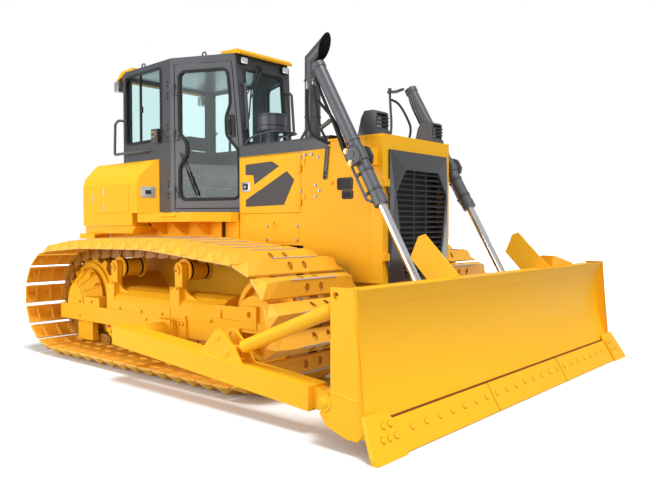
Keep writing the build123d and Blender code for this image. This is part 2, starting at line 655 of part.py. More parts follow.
def radiator_guard():
    """Plate box round the radiator; its side plates reach back to the bonnet's seam."""
    shell = block(HOOD_FRONT_X + RUN_GAP, GUARD_FRONT_X, -GUARD_HALF, GUARD_HALF, GUARD_TOP - GUARD_SHEET,
                  GUARD_TOP)
    shell += block(GUARD_FRONT_X - GUARD_SHEET, GUARD_FRONT_X, -GUARD_HALF, GUARD_HALF, GUARD_BOTTOM, GUARD_TOP)
    shell += block(RADIATOR_X, GUARD_FRONT_X, -GUARD_HALF, GUARD_HALF, GUARD_BOTTOM, GUARD_BOTTOM + GUARD_SHEET)
    shell += block(RADIATOR_X, RADIATOR_X + 30, -GUARD_HALF, GUARD_HALF, GUARD_BOTTOM, GUARD_TOP)
    shell -= block(GUARD_FRONT_X - GUARD_SHEET - 1, GUARD_FRONT_X + 1, -GRILLE_HALF + 30, GRILLE_HALF - 30,
                   GUARD_BOTTOM + 40, GRILLE_TOP - 30)
    shell -= block(RADIATOR_X - 1, RADIATOR_X + 31, -GRILLE_HALF + 60, GRILLE_HALF - 60,
                   GUARD_BOTTOM + 60, GRILLE_TOP)
    for side in (-1, 1):
        outline = seam_outline(HOOD_SIDE_TOP, GUARD_BOTTOM)
        outline += [(GUARD_FRONT_X, GUARD_BOTTOM), (GUARD_FRONT_X, GUARD_TOP), (HOOD_FRONT_X + RUN_GAP, GUARD_TOP),
                    (HOOD_FRONT_X + RUN_GAP, HOOD_SIDE_TOP)]
        plan = [(HOOD_SEAM_FOOT[0] - 1, side * HOOD_HALF), (GUARD_FRONT_X, side * GUARD_HALF),
                (GUARD_FRONT_X, side * (GUARD_HALF - GUARD_SHEET)),
                (HOOD_SEAM_FOOT[0] - 1, side * (HOOD_HALF - GUARD_SHEET))]
        shell += side_plate(outline, -GUARD_HALF, GUARD_HALF) & level_plate(plan, GUARD_BOTTOM, GUARD_TOP)
        y0, y1 = sorted((side * (GUARD_HALF - 10), side * (LIFT_Y - 90)))
        shell += block(YOKE_X - YOKE_BLOCK[0], YOKE_X + YOKE_BLOCK[0], y0, y1,
                       YOKE_Z - YOKE_BLOCK[1], YOKE_Z + YOKE_BLOCK[1])
        shell -= across(YOKE_X, YOKE_Z, side * (GUARD_HALF + 10), side * LIFT_Y, YOKE_PIN + FIT_GAP)
    return shell + grille_hinges(False)


GRILLE_HINGES = (GUARD_BOTTOM + 130, GRILLE_TOP - 370)
GRILLE_FOOT = GUARD_BOTTOM + 5
GRILLE_BACK_X = GUARD_FRONT_X + MOVE_GAP
GRILLE_PLATE = 14


def grille_hinges(door):
    """Hinges on the right edge; the frame's leaves stand on packings."""
    y = -GRILLE_HALF
    halves = hinge_halves(GRILLE_BACK_X, y, GRILLE_HINGES, (0, 1), (1, 0), door)
    if not door:
        for z in GRILLE_HINGES:
            z0 = z + KNUCKLE_LENGTH + RUN_GAP
            halves += block(GUARD_FRONT_X - 1, GRILLE_BACK_X + 1, y - LEAF_LENGTH + 2, y - MOVE_GAP, z0,
                            z0 + KNUCKLE_LENGTH)
    return halves


def grille_face(x, shrink):
    """The six corners of the grille's slatted field, clockwise from its upper left."""
    wide, head, knee, foot = 420 - shrink, 276 - shrink * 0.8, 1607, 300 - shrink
    corners = [(head, GRILLE_TOP - 140 - shrink), (wide, knee), (foot, GRILLE_FOOT + 10 + shrink)]
    return [(x, y, z) for y, z in corners] + [(x, -y, z) for y, z in reversed(corners)]


def grille_door():
    """Cast door: a sloping surround, a six-sided field of slats and two upright bars."""
    back = GRILLE_BACK_X + GRILLE_PLATE
    front = GUARD_FRONT_X + GRILLE_PROUD
    half, z0, z1 = GRILLE_HALF - KNUCKLE_RADIUS - MOVE_GAP, GRILLE_FOOT, GRILLE_TOP
    plate = block(GRILLE_BACK_X, back, -half, half, z0, z1)
    rim = [(back, half, z1), (back, half, z0), (back, -half, z0), (back, -half, z1)]
    field = grille_face(front, 0)
    upper_left, knee_left, foot_left, foot_right, knee_right, upper_right = field
    facets = [rim, field, (rim[0], rim[3], upper_right, upper_left), (rim[1], rim[2], foot_right, foot_left),
              (rim[0], upper_left, knee_left), (rim[0], knee_left, rim[1]), (rim[1], knee_left, foot_left),
              (rim[3], upper_right, knee_right), (rim[3], knee_right, rim[2]), (rim[2], knee_right, foot_right)]
    surround = Solid(Shell([make_face(Polyline(*corners, close=True)).face() for corners in facets]))
    door = plate + surround
    hole = [(y, z) for _, y, z in grille_face(front, 22)]
    opening = cross_plate(hole, GRILLE_BACK_X - 1, front + 1)
    door -= opening
    slat_count = 20
    field_low, field_high = GRILLE_FOOT + 32, GRILLE_TOP - 162
    for i in range(slat_count):
        z = field_low + (i + 0.5) * (field_high - field_low) / slat_count
        tilt = [(front - 34, z + 12), (front - 30, z + 15), (front - 4, z - 8), (front - 8, z - 11)]
        door += side_plate(tilt, -460, 460) & cross_plate([(y, z) for _, y, z in grille_face(front, 20)],
                                                          GRILLE_BACK_X, front)
    for y in (-95, 95):
        door += block(front - 36, front - 26, y - 7, y + 7, field_low - 5, field_high + 5)
    return door + grille_hinges(True)


def radiator():
    return block(RADIATOR_X + 30 + RUN_GAP, RADIATOR_X + 90, -430, 430, GUARD_BOTTOM + 60, GUARD_TOP - 110)


def screen_x(z):
    return CAB_FRONT_X - CAB_LEAN * (z - DECK_TOP) / (CAB_ROOF - DECK_TOP)


def cab_half(x):
    """Half the cab's width in front of its widest place."""
    share = (x - CAB_WIDE_X) / (CAB_FRONT_X - CAB_WIDE_X)
    return CAB_WIDE_HALF + share * (CAB_FRONT_HALF - CAB_WIDE_HALF)


def behind_screen(gap, z0, z1):
    """All that lies behind the leaning windscreen."""
    outline = [(CAB_REAR_X, z0), (screen_x(z0) - gap, z0), (screen_x(z1) - gap, z1), (CAB_REAR_X, z1)]
    return side_plate(outline, -CAB_WIDE_HALF - 50, CAB_WIDE_HALF + 50)


def cab_solid(inset, z0, z1):
    """The six-sided cab between two heights."""
    far = CAB_FRONT_X + 60
    plan = [(CAB_REAR_X + inset, CAB_REAR_HALF - inset), (CAB_WIDE_X, CAB_WIDE_HALF - inset),
            (far, cab_half(far) - inset)]
    plan += [(x, -y) for x, y in reversed(plan)]
    return level_plate(plan, z0, z1) & behind_screen(inset, z0, z1)


def door_slab(side, x0, gap, z0, z1, depth):
    """A slab in the plane of a cab door, from x0 to a gap behind the windscreen."""
    far = CAB_FRONT_X + 60
    plan = [(x0, cab_half(x0)), (far, cab_half(far)), (far, cab_half(far) - depth),
            (x0, cab_half(x0) - depth)]
    return level_plate([(x, side * y) for x, y in plan], z0, z1) & behind_screen(gap, z0, z1)


DOOR_REAR_X = CAB_WIDE_X + 40
DOOR_PILLAR = 36     # windscreen to the front edge of the door
DOOR_FOOT = DECK_TOP + 85
DOOR_HEAD = CAB_ROOF - 75
WINDOW_SILL = 2270   # side and rear windows
WINDOW_HEAD = CAB_ROOF - 75
SCREEN_SILL = 2150
CAB_HINGES = (DOOR_FOOT + 120, DOOR_FOOT + 720, DOOR_HEAD - 320)


def cab_hinges(side, door):
    x = DOOR_REAR_X + MOVE_GAP / 2
    run = Vector(CAB_FRONT_X - CAB_WIDE_X, side * (CAB_FRONT_HALF - CAB_WIDE_HALF)).normalized()
    outward = (-side * run.Y, side * run.X)
    return hinge_halves(x, side * cab_half(x), CAB_HINGES, (run.X, run.Y), outward, door)


def cab_shell():
    """Welded six-sided cab body with its window openings."""
    shell = cab_solid(0, DECK_TOP + RUN_GAP, CAB_ROOF - 60)
    shell -= cab_solid(CAB_WALL, CAB_FLOOR, CAB_ROOF - 59)
    for side in (-1, 1):
        shell -= door_slab(side, DOOR_REAR_X, DOOR_PILLAR, DOOR_FOOT, DOOR_HEAD, CAB_WALL + 30)
        y0, y1 = sorted((side * (CAB_REAR_HALF - 90), side * (CAB_WIDE_HALF + 60)))
        shell -= block(CAB_REAR_X + 60, CAB_WIDE_X - 180, y0, y1, WINDOW_SILL, WINDOW_HEAD)
    shell -= block(CAB_FRONT_X - 400, CAB_FRONT_X + 50, -CAB_FRONT_HALF + 55, CAB_FRONT_HALF - 55,
                   SCREEN_SILL, WINDOW_HEAD - 77)
    shell -= block(CAB_REAR_X - 50, CAB_REAR_X + 100, -CAB_REAR_HALF + 90, CAB_REAR_HALF - 90,
                   WINDOW_SILL, WINDOW_HEAD)
    for side in (-1, 1):
        valve = block(CAB_WIDE_X - 290, CAB_WIDE_X - 175, *sorted((side * (CAB_WIDE_HALF - 25), side * 745)),
                      WINDOW_SILL - 40, WINDOW_SILL + 110)
        shell += valve - cab_solid(CAB_WALL - 5, WINDOW_SILL - 100, WINDOW_SILL + 200)
    return shell + cab_hinges(-1, False) + cab_hinges(1, False)


def cab_roof():
    """Flat roof panel, drawn in a little above its gutter."""
    return cab_solid(0, CAB_ROOF - 60 + RUN_GAP, CAB_ROOF - 25) + cab_solid(14, CAB_ROOF - 26, CAB_ROOF)


VISOR_HALF = 385


def front_visor():
    """Sun visor on the roof, overhanging the windscreen."""
    outline = [(1180, CAB_ROOF + RUN_GAP), (1192, CAB_ROOF + 52), (1450, CAB_ROOF + 42), (1485, CAB_ROOF + 8),
               (1480, CAB_ROOF - 16), (1428, CAB_ROOF + RUN_GAP)]
    return side_plate(outline, -VISOR_HALF, VISOR_HALF)


def rear_visor():
    """Lamp visor over the rear wall."""
    outline = [(-60, CAB_ROOF + RUN_GAP), (-70, CAB_ROOF + 38), (-300, CAB_ROOF + 22), (-410, CAB_ROOF - 70),
               (-396, CAB_ROOF - 77), (CAB_REAR_X - RUN_GAP, CAB_ROOF - 6), (CAB_REAR_X - RUN_GAP, CAB_ROOF + RUN_GAP)]
    return side_plate(outline, -CAB_REAR_HALF + 22, CAB_REAR_HALF - 22)


HAND_TUBE = 15


def handrails():
    """Bent grab rails beside the cab's rear corners and in front of its windscreen."""
    rails = []
    for side in (-1, 1):
        rear = CAB_REAR_X - 70
        wall = CAB_REAR_HALF + 3
        low, high = TANK_TOP + 95, 2545
        rails.append(tube([(CAB_REAR_X + 60, side * (wall + 1), high), (CAB_REAR_X + 20, side * (wall + 75), high),
                           (rear, side * (wall + 60), high - 30), (rear, side * (wall + 70), low),
                           (CAB_REAR_X + 200, side * (wall + 85), low), (300, side * (wall + 90), low),
                           (330, side * (wall + 25), low)], HAND_TUBE, 24))
        foot_x, head_x = screen_x(2330), screen_x(2790)
        y = CAB_FRONT_HALF - 20
        rails.append(tube([(foot_x - 5, side * y, 2330), (foot_x + 70, side * (y + 25), 2330),
                           (head_x + 70, side * (y + 25), 2790), (head_x - 5, side * y, 2790)], HAND_TUBE, 40))
    return joined(rails) - cab_solid(0, DECK_TOP, CAB_ROOF)


def cab_door(side):
    """Framed door with one tall window; its sill rises at the rear to clear the catch."""
    gap = MOVE_GAP
    frame = door_slab(side, DOOR_REAR_X + gap, DOOR_PILLAR + gap, DOOR_FOOT + gap, DOOR_HEAD - gap,
                      CAB_WALL)
    head, foot, knee = DOOR_HEAD - 80, DOOR_FOOT + 100, 2215
    rear = DOOR_REAR_X + 55
    front_high, front_low = screen_x(head) - DOOR_PILLAR - 47, screen_x(foot) - DOOR_PILLAR - 45
    window = [(rear, head - 40), (rear + 40, head), (front_high - 40, head), (front_high, head - 40),
              (front_high + 28, 2600), (front_high - 22, 2460), (front_high - 17, 2270), (front_low - 5, 2110),
              (front_low, foot + 40), (front_low - 40, foot), (rear + 40, foot), (rear, foot + 50),
              (rear, 1955), (rear + 80, 2075), (rear + 80, knee), (rear, knee + 95)]
    frame -= side_plate(window, *sorted((side * 200, side * 900)))
    return frame + cab_hinges(side, True)


def tank_outline(half):
    """Cross section of the tanks behind and beside the cab, as (y, z) from the top inwards."""
    return [(half, 1800), (half - 30, 1890), (half - 185, TANK_TOP - 11), (half - 240, TANK_TOP)]


def rear_tank():
    """Fuel tank across the back, with a fill neck and a guard for the lamps."""
    section = [(-BOX_JOINT, BOX_BOTTOM), (BOX_JOINT, BOX_BOTTOM), (BOX_JOINT, TANK_TOP), (-BOX_JOINT, TANK_TOP)]
    tank = cross_plate(section, TANK_REAR_X, CAB_REAR_X - 5)
    neck = Pos(-560, -250, TANK_TOP - 5) * Cylinder(62, 75, align=LOW)
    return tank + neck + Pos(-560, -250, TANK_TOP + 69) * Cylinder(72, 22, align=LOW) - rear_deck()


def side_box(side):
    """Bevelled box beside the cab: a tank at the back, a locker with a slanted front."""
    top = tank_outline(TANK_HALF)
    inner = BOX_JOINT + RUN_GAP
    section = [(inner, BOX_BOTTOM), (TANK_HALF, BOX_BOTTOM)] + top + [(inner, TANK_TOP)]
    section = [(side * y, z) for y, z in section]
    plan = [(TANK_REAR_X, inner), (TANK_REAR_X, TANK_HALF), (BOX_FRONT_X, TANK_HALF), (BOX_NOSE_X, 690),
            (CAB_REAR_X - 5, CAB_REAR_HALF + MOVE_GAP), (CAB_REAR_X - 5, inner)]
    shell = cross_plate(section, TANK_REAR_X, BOX_NOSE_X) & level_plate([(x, side * y) for x, y in plan],
                                                                        BOX_BOTTOM, TANK_TOP)
    step = block(BOX_FRONT_X - 98, BOX_NOSE_X + 1, *sorted((side * 500, side * (TANK_HALF + 1))),
                 BOX_BOTTOM - 1, FENDER_TOP + 5)
    y0, y1 = sorted((side * (TANK_HALF - 2), side * (TANK_HALF + 6)))
    door = block(-470, 250, y0, y1, 1490, 1770)
    return shell - step + door - rear_deck()


EXHAUST_X = 2410
EXHAUST_Y = -300
EXHAUST_RADIUS = 75
ELBOW_Z = 2892
ELBOW_RISE = 34.5    # the outlet's slope above the level, in degrees
MOUTH_LOW = (2515, 2868)
MOUTH_LEAN = 19.6    # the mouth's plane leans forward by this from upright, in degrees


def exhaust():
    """Straight stack with a bracket collar and a mitred outlet that faces forward."""
    x, y, z, radius = EXHAUST_X, EXHAUST_Y, ELBOW_Z, EXHAUST_RADIUS
    rise, lean = radians(ELBOW_RISE), radians(MOUTH_LEAN)
    mitre = tan((pi / 2 - rise) / 2)
    outer, inner = (x - 2 * radius, z + 2 * radius * mitre), (x + 2 * radius, z - 2 * radius * mitre)
    upright = bar((x, y, HOOD_TOP + RUN_GAP), (x, y, z + 3 * radius), radius)
    upright &= side_plate([(outer[0], HOOD_TOP), (inner[0], HOOD_TOP), inner, outer], y - 2 * radius, y + 2 * radius)
    (mx, mz), reach = MOUTH_LOW, 330
    mouth = [(mx - 40 * sin(lean), mz - 40 * cos(lean)), (mx + reach * sin(lean), mz + reach * cos(lean))]
    limit = side_plate([outer, inner, mouth[0], mouth[1], (outer[0], mouth[1][1])], y - 2 * radius, y + 2 * radius)
    limit -= side_plate([mouth[0], (mx + reach, mouth[0][1]), (mx + reach, mouth[1][1] + 50), mouth[1]],
                        y - 3 * radius, y + 3 * radius)
    run = (cos(rise), sin(rise))
    start, end = (x - radius * run[0], y, z - radius * run[1]), (x + 360 * run[0], y, z + 360 * run[1])
    outlet = bar(start, end, radius) & limit
    bore = bar((x + 60 * run[0], y, z + 60 * run[1]), end, radius - 6)
    collar = bar((x, y, HOOD_TOP + RUN_GAP), (x, y, HOOD_TOP + 14), radius + 40)
    collar += bar((x, y, HOOD_TOP + 250), (x, y, HOOD_TOP + 275), radius + 6)
    return upright + outlet + collar - bore


def exhaust_guard():
    """Bent bar that stands on the bonnet beside the stack."""
    x, y, top = 2500, -430, 2700
    guard = tube([(x - 90, y - 30, HOOD_TOP - 3), (x - 20, y - 30, HOOD_TOP + 80), (x, y, HOOD_TOP + 160), (x, y, top),
                  (x - 60, y + 80, top + 60)], 13, 30)
    return guard - hood() - exhaust()


def precleaner():
    """Cyclone bowl on the air intake, with a hoop guard in front of it."""
    x, y, low = 1762, -200, 2285
    bowl = bar((x, y, low), (x, y, low + 165), 147) + bar((x, y, low + 160), (x, y, low + 178), 132)
    bowl += bar((x, y, HOOD_TOP + RUN_GAP), (x, y, low + 5), 70)
    return bowl + bar((x, y, HOOD_TOP + RUN_GAP), (x, y, HOOD_TOP + 16), 115)


LAMP_X = 3335
LAMP_Y = (345, 520)
LAMP_HEIGHT = 205


def headlamps():
    """Trapezoid lamp boxes on the front corners of the radiator guard, open in front."""
    shapes = []
    foot, head = GUARD_TOP + RUN_GAP, GUARD_TOP + LAMP_HEIGHT
    outline = [(LAMP_X - 215, foot), (LAMP_X, foot), (LAMP_X, foot + 40), (LAMP_X - 17, foot + 50),
               (LAMP_X - 17, head - 15), (LAMP_X - 45, head), (LAMP_X - 140, head), (LAMP_X - 175, head - 55)]
    for side in (-1, 1):
        y0, y1 = sorted((side * LAMP_Y[0], side * LAMP_Y[1]))
        lamp = side_plate(outline, y0, y1)
        shapes.append(lamp - block(LAMP_X - 75, LAMP_X + 1, y0 + 18, y1 - 18, foot + 60, head - 25))
    return joined(shapes)


SEAT_X = 240         # rear of the seat's back
SEAT_TOP = 1770
SEAT_HEAD = 2385


def seat():
    """Cushion, back, head rest and arm rests on one suspension base."""
    front = SEAT_X + 570
    cushion = block(SEAT_X + 90, front, -240, 240, SEAT_TOP - 130, SEAT_TOP)
    back = block(SEAT_X, SEAT_X + 110, -240, 240, SEAT_TOP - 40, SEAT_HEAD - 160)
    back += block(SEAT_X + 5, SEAT_X + 90, -140, 140, SEAT_HEAD - 165, SEAT_HEAD)
    base = block(SEAT_X + 130, front - 60, -180, 180, CAB_FLOOR + RUN_GAP, SEAT_TOP - 125)
    for side in (-1, 1):
        y0, y1 = sorted((side * 238, side * 330))
        base += block(SEAT_X + 80, front - 60, y0, y1, SEAT_TOP + 100, SEAT_TOP + 160)
        base += block(SEAT_X + 110, SEAT_X + 230, y0, y1, SEAT_TOP - 200, SEAT_TOP + 105)
        base += block(SEAT_X + 110, SEAT_X + 230, *sorted((side * 170, side * 330)), SEAT_TOP - 205,
                      SEAT_TOP - 145)
    return cushion + back + base


def console():
    """Instrument console under the windscreen."""
    foot = CAB_FLOOR + RUN_GAP
    outline = [(1270, foot), (1420, foot), (1420, 2070), (1370, 2110), (1240, 2010), (1240, 1950), (1300, 1900)]
    return side_plate(outline, -230, 230)


def lift_direction():
    span = Vector(EYE_X - YOKE_X, 0, EYE_Z - YOKE_Z)
    return span.normalized()


def along_lift(distance, side):
    point = Vector(YOKE_X, side * LIFT_Y, YOKE_Z) + lift_direction() * distance
    return (point.X, point.Y, point.Z)


def lift_barrel(side):
    """Barrel with its gland, head, middle clamp and trunnion, and an oil pipe along it."""
    def ring(a, b, radius):
        return bar(along_lift(a, side), along_lift(b, side), radius)

    barrel = ring(-BARREL_ABOVE, BARREL_BELOW, BARREL_RADIUS)
    barrel += ring(-BARREL_ABOVE, -BARREL_ABOVE + 45, BARREL_RADIUS + 6)
    barrel += ring(BARREL_BELOW - 75, BARREL_BELOW, BARREL_RADIUS + 5)
    barrel += ring(-62, 62, BARREL_RADIUS + 10) + ring(-150, -128, BARREL_RADIUS + 6)
    barrel -= ring(-BARREL_ABOVE + 50, BARREL_BELOW + 1, ROD_RADIUS + FIT_GAP)
    inner = side * (GUARD_HALF + 15)
    outer = side * (LIFT_Y + BARREL_RADIUS + 55)
    barrel += across(YOKE_X, YOKE_Z, inner, side * (LIFT_Y - 50), YOKE_PIN)
    barrel += across(YOKE_X, YOKE_Z, side * (LIFT_Y + 50), outer, 52)
    down, back = lift_direction(), Vector(-lift_direction().Z, 0, lift_direction().X)
    lift_y = side * (LIFT_Y + 46)

    def beside(distance, off):
        point = Vector(YOKE_X, lift_y, YOKE_Z) + down * distance - back * off
        return (point.X, point.Y, point.Z)

    pipe = tube([beside(40, 40), beside(62, 84), beside(BARREL_BELOW - 95, 84), beside(BARREL_BELOW - 45, 40)], 11, 16)
    return barrel + (pipe - ring(0, BARREL_BELOW, BARREL_RADIUS - 5))


def lift_rod(side):
    reach = hypot(EYE_X - YOKE_X, EYE_Z - YOKE_Z)
    rod = bar(along_lift(-40, side), along_lift(reach - 20, side), ROD_RADIUS)
    y = side * LIFT_Y
    return rod + across(EYE_X, EYE_Z, y - EYE_HALF, y + EYE_HALF, EYE_RADIUS)


def arm_centre(x):
    share = (x - TRUNNION_X) / (BALL_X - TRUNNION_X)
    return TRUNNION_Z + share * (BALL_Z - TRUNNION_Z)


def push_arm(side):
    """Box-section arm: trunnion eye behind, round nose in front, two ears for the brace."""
    h = ARM_HEIGHT / 2

    def plate(points, y0, y1):
        return side_plate(points, *sorted((side * y0, side * y1)))

    outline = [(ARM_REAR_X, arm_centre(ARM_REAR_X) - h), (ARM_FRONT_X, arm_centre(ARM_FRONT_X) - h),
               (ARM_FRONT_X, arm_centre(ARM_FRONT_X) + h), (ARM_REAR_X, arm_centre(ARM_REAR_X) + h)]
    arm = plate(outline, ARM_IN_Y, ARM_OUT_Y)
    nose = [(ARM_FRONT_X - 10, arm_centre(ARM_FRONT_X) - h + 12), (BALL_X, BALL_Z - 62),
            (BALL_X, BALL_Z + 62), (ARM_FRONT_X - 10, arm_centre(ARM_FRONT_X) + h - 12)]
    arm += plate(nose, ARM_IN_Y + NOSE_IN, ARM_OUT_Y - NOSE_IN)
    arm += across(BALL_X, BALL_Z, side * (ARM_IN_Y + NOSE_IN), side * (ARM_OUT_Y - NOSE_IN), 62)
    arm -= across(BALL_X, BALL_Z, side * ARM_IN_Y, side * ARM_OUT_Y, BALL_PIN + FIT_GAP)
    arm -= across(TRUNNION_X, TRUNNION_Z, side * (ARM_IN_Y - 5), side * (ARM_OUT_Y - 40),
                  TRUNNION_RADIUS + FIT_GAP)
    brace_x = BRACE_REAR[0]
    foot = arm_centre(brace_x) + h - 5
    ear = [(brace_x - 320, foot + 14), (brace_x + 150, foot - 6), (brace_x + 70, 480), (brace_x - 60, 578),
           (brace_x - 95, 590), (brace_x - 130, 576)]
    for y in (ARM_IN_Y + 18, ARM_OUT_Y - 38):
        arm += plate(ear, y, y + 20)
    arm -= across(brace_x - 95, 536, side * ARM_IN_Y, side * ARM_OUT_Y, BRACE_PIN)
    arm -= across(*BRACE_REAR, side * ARM_IN_Y, side * ARM_OUT_Y, BRACE_PIN + FIT_GAP)
    return arm


def brace(side):
    y = side * BRACE_Y
    (x0, z0), (x1, z1) = BRACE_REAR, BRACE_FRONT
    rod = bar((x0, y, z0), (x1, y, z1), 25)
    tube = bar((x0 + 110, y, z0 + 110 * (z1 - z0) / (x1 - x0)), (x1 - 90, y, z1 - 90 * (z1 - z0) / (x1 - x0)), 48)
    for x, z, pin_in, pin_out in ((x0, z0, ARM_IN_Y + 15, ARM_OUT_Y - 15), (x1, z1, BRACE_Y - 62, BRACE_Y + 62)):
        tube += across(x, z, y - 25, y + 25, 42)
        tube += across(x, z, side * pin_in, side * pin_out, BRACE_PIN)
    return tube + rod


EDGE_BACK = [(BLADE_FOOT_X + 5, BLADE_FOOT_Z + 6), (EDGE_TIP_X - 34, EDGE_TIP_Z)]
BIT_BACK = [(BLADE_FOOT_X - 12, BLADE_FOOT_Z + 60), (BITE_X - 36, 0)]


def part_way(line, share):
    """The point at this share of the way along a line of two (x, z) points."""
    (x0, z0), (x1, z1) = line
    return (x0 + share * (x1 - x0), z0 + share * (z1 - z0))


def face_curve(offset):
    """The hollow front of the mouldboard, moved forward by offset."""
    top, foot = Vector(BLADE_TOP_X + offset, 0, BLADE_TOP_Z), Vector(BLADE_FOOT_X + offset, 0, BLADE_FOOT_Z)
    middle = (top + foot) / 2 - Vector(BLADE_HOLLOW, 0, 0)
    return ThreePointArc(top, middle, foot)


def blade():
    """Hollow-faced mouldboard on two back boxes, with end plates, clevises and ears."""
    front = face_curve(0)
    back = face_curve(-BLADE_PLATE)
    outline = front + Line(front @ 1, back @ 1) + back + Line(back @ 0, front @ 0)
    board = extrude(make_face(outline), amount=BLADE_HALF, both=True, dir=(0, 1, 0))
    rear, chest, inset = BLADE_BACK_X, BLADE_CHEST_X, BLADE_HALF - END_PLATE / 2
    lower = [(rear, BLADE_FOOT_Z - 28), (rear, 600), (chest, 640), (chest, 380),
             (BLADE_FOOT_X - 25, BLADE_FOOT_Z), (BLADE_FOOT_X - 25, BLADE_FOOT_Z - 28)]
    board += side_plate(lower, -inset, inset)
    seat = [(BLADE_FOOT_X - 26, BLADE_FOOT_Z - 28), (BLADE_FOOT_X - 26, BLADE_FOOT_Z + 6), EDGE_BACK[0],
            part_way(EDGE_BACK, 0.4)]
    board += side_plate(seat, END_BIT - BLADE_HALF, BLADE_HALF - END_BIT)
    upper = [(rear, BLADE_TOP_Z - 54), (rear, BLADE_TOP_Z - 4), (BLADE_TOP_X - 5, BLADE_TOP_Z - 4),
             (chest + 30, BLADE_TOP_Z - 104)]
    board += side_plate(upper, -BLADE_HALF + EYE_ROOM, BLADE_HALF - EYE_ROOM)
    board += block(rear, chest + 2, -10, 10, 590, BLADE_TOP_Z - 30)
    for side in (-1, 1):
        board += block(rear, chest + 2, *sorted((side * 1200, side * 1220)), 590, BLADE_TOP_Z - 30)
        end = [(rear, BLADE_TOP_Z + 12), (BLADE_TOP_X + 1, BLADE_TOP_Z + 12), BIT_BACK[0], part_way(BIT_BACK, 0.5),
               (chest + 10, 90), (4091, 140), (BALL_X + 34, 211), (rear - 10, 313),
               (rear - 2, 353)]
        y0, y1 = sorted((side * (BLADE_HALF - END_PLATE), side * BLADE_HALF))
        board += side_plate(end, y0, y1)
        board -= across(HOOK_X, HOOK_Z, y0 - 60, y1 + 60, HOOK_BORE)
        lug = [(BALL_X - 62, BALL_Z - 60), (rear + 70, BALL_Z - 70), (rear + 70, 420), (BALL_X - 62, BALL_Z + 70)]
        for y in (ARM_IN_Y + NOSE_IN - 33, ARM_OUT_Y - NOSE_IN + 8):
            board += side_plate(lug, *sorted((side * y, side * (y + 25))))
        board += across(BALL_X, BALL_Z, side * (ARM_IN_Y + NOSE_IN - 40), side * (ARM_OUT_Y - NOSE_IN + 40), BALL_PIN)
        board += across(BALL_X, BALL_Z, side * (ARM_OUT_Y - NOSE_IN + 30), side * (ARM_OUT_Y - NOSE_IN + 42), 48)
        x, z = BRACE_FRONT
        for edge in (-1, 1):
            y = side * BRACE_Y + edge * 50
            lug = side_plate([(x - 45, z - 45), (rear + 5, z - 60), (chest + 5, 640), (BLADE_TOP_X - 58, z),
                              (rear + 5, z + 66), (x - 45, z + 45)], y - 10, y + 10)
            board += lug - across(x, z, y - 12, y + 12, BRACE_PIN + FIT_GAP)
        for edge in (-1, 1):
            y = side * LIFT_Y + edge * (EYE_HALF + 22)
            board += side_plate([(EYE_X - 60, EYE_Z - 60), (rear + 5, EYE_Z - 90), (rear + 5, EYE_Z + 90),
                                 (EYE_X - 60, EYE_Z + 60)], y - 10, y + 10)
        room = EYE_HALF + 12
        board -= block(rear - 1, rear + EYE_POCKET, side * LIFT_Y - room, side * LIFT_Y + room,
                       EYE_Z - 130, 601)
    return board


def blade_guards():
    """Two upright plates on the blade that keep spoil off the cylinders, and a hose cover."""
    outline = [(3843, 1087), (3914, 1248), (3969, 1266), (BLADE_TOP_X - 20, BLADE_TOP_Z - 4),
               (BLADE_BACK_X + 10, BLADE_TOP_Z - 40), (4003, 918)]
    plates = []
    for side in (-1, 1):
        y0, y1 = sorted((side * GUARD_PLATE_Y, side * (GUARD_PLATE_Y + GUARD_PLATE)))
        plates.append(side_plate(outline, y0, y1))
    cover = cross_plate([(950, BLADE_TOP_Z - 4), (950, 1056), (1000, 1056), (1420, 975), (1420, BLADE_TOP_Z - 4)],
                        4110, 4225)
    hollow = cross_plate([(960, BLADE_TOP_Z - 5), (960, 1044), (1000, 1044), (1410, 965), (1410, BLADE_TOP_Z - 5)],
                         4109, 4215)
    return joined(plates + [cover - hollow]) - blade()


def cutting_edge():
    """Three bolted edges across the foot of the board and a flared bit at each end."""
    foot_x, foot_z = BLADE_FOOT_X, BLADE_FOOT_Z
    profile = [EDGE_BACK[0], (foot_x + 27, foot_z + 12), (EDGE_TIP_X, EDGE_TIP_Z), EDGE_BACK[1]]
    middle, end = EDGE_MIDDLE, BLADE_HALF - END_BIT
    strips = [(-end, -middle), (-middle + EDGE_GAP, middle - EDGE_GAP), (middle, end)]
    edges = [side_plate(profile, y0, y1) for y0, y1 in strips]
    bit = [BIT_BACK[0], (foot_x + 16, foot_z + 68), (BITE_X, 0), BIT_BACK[1]]
    for side in (-1, 1):
        start = end + EDGE_GAP
        front = [(start, foot_z + 6), (start + 60, foot_z + 70), (BLADE_HALF, foot_z + 70), (BITE_HALF, 40),
                 (BITE_HALF, -1), (start, -1)]
        edges.append(side_plate(bit, *sorted((side * start, side * BITE_HALF))) & cross_plate(
            [(side * y, z) for y, z in front], 4200, 4600))
    return joined(edges) - blade()


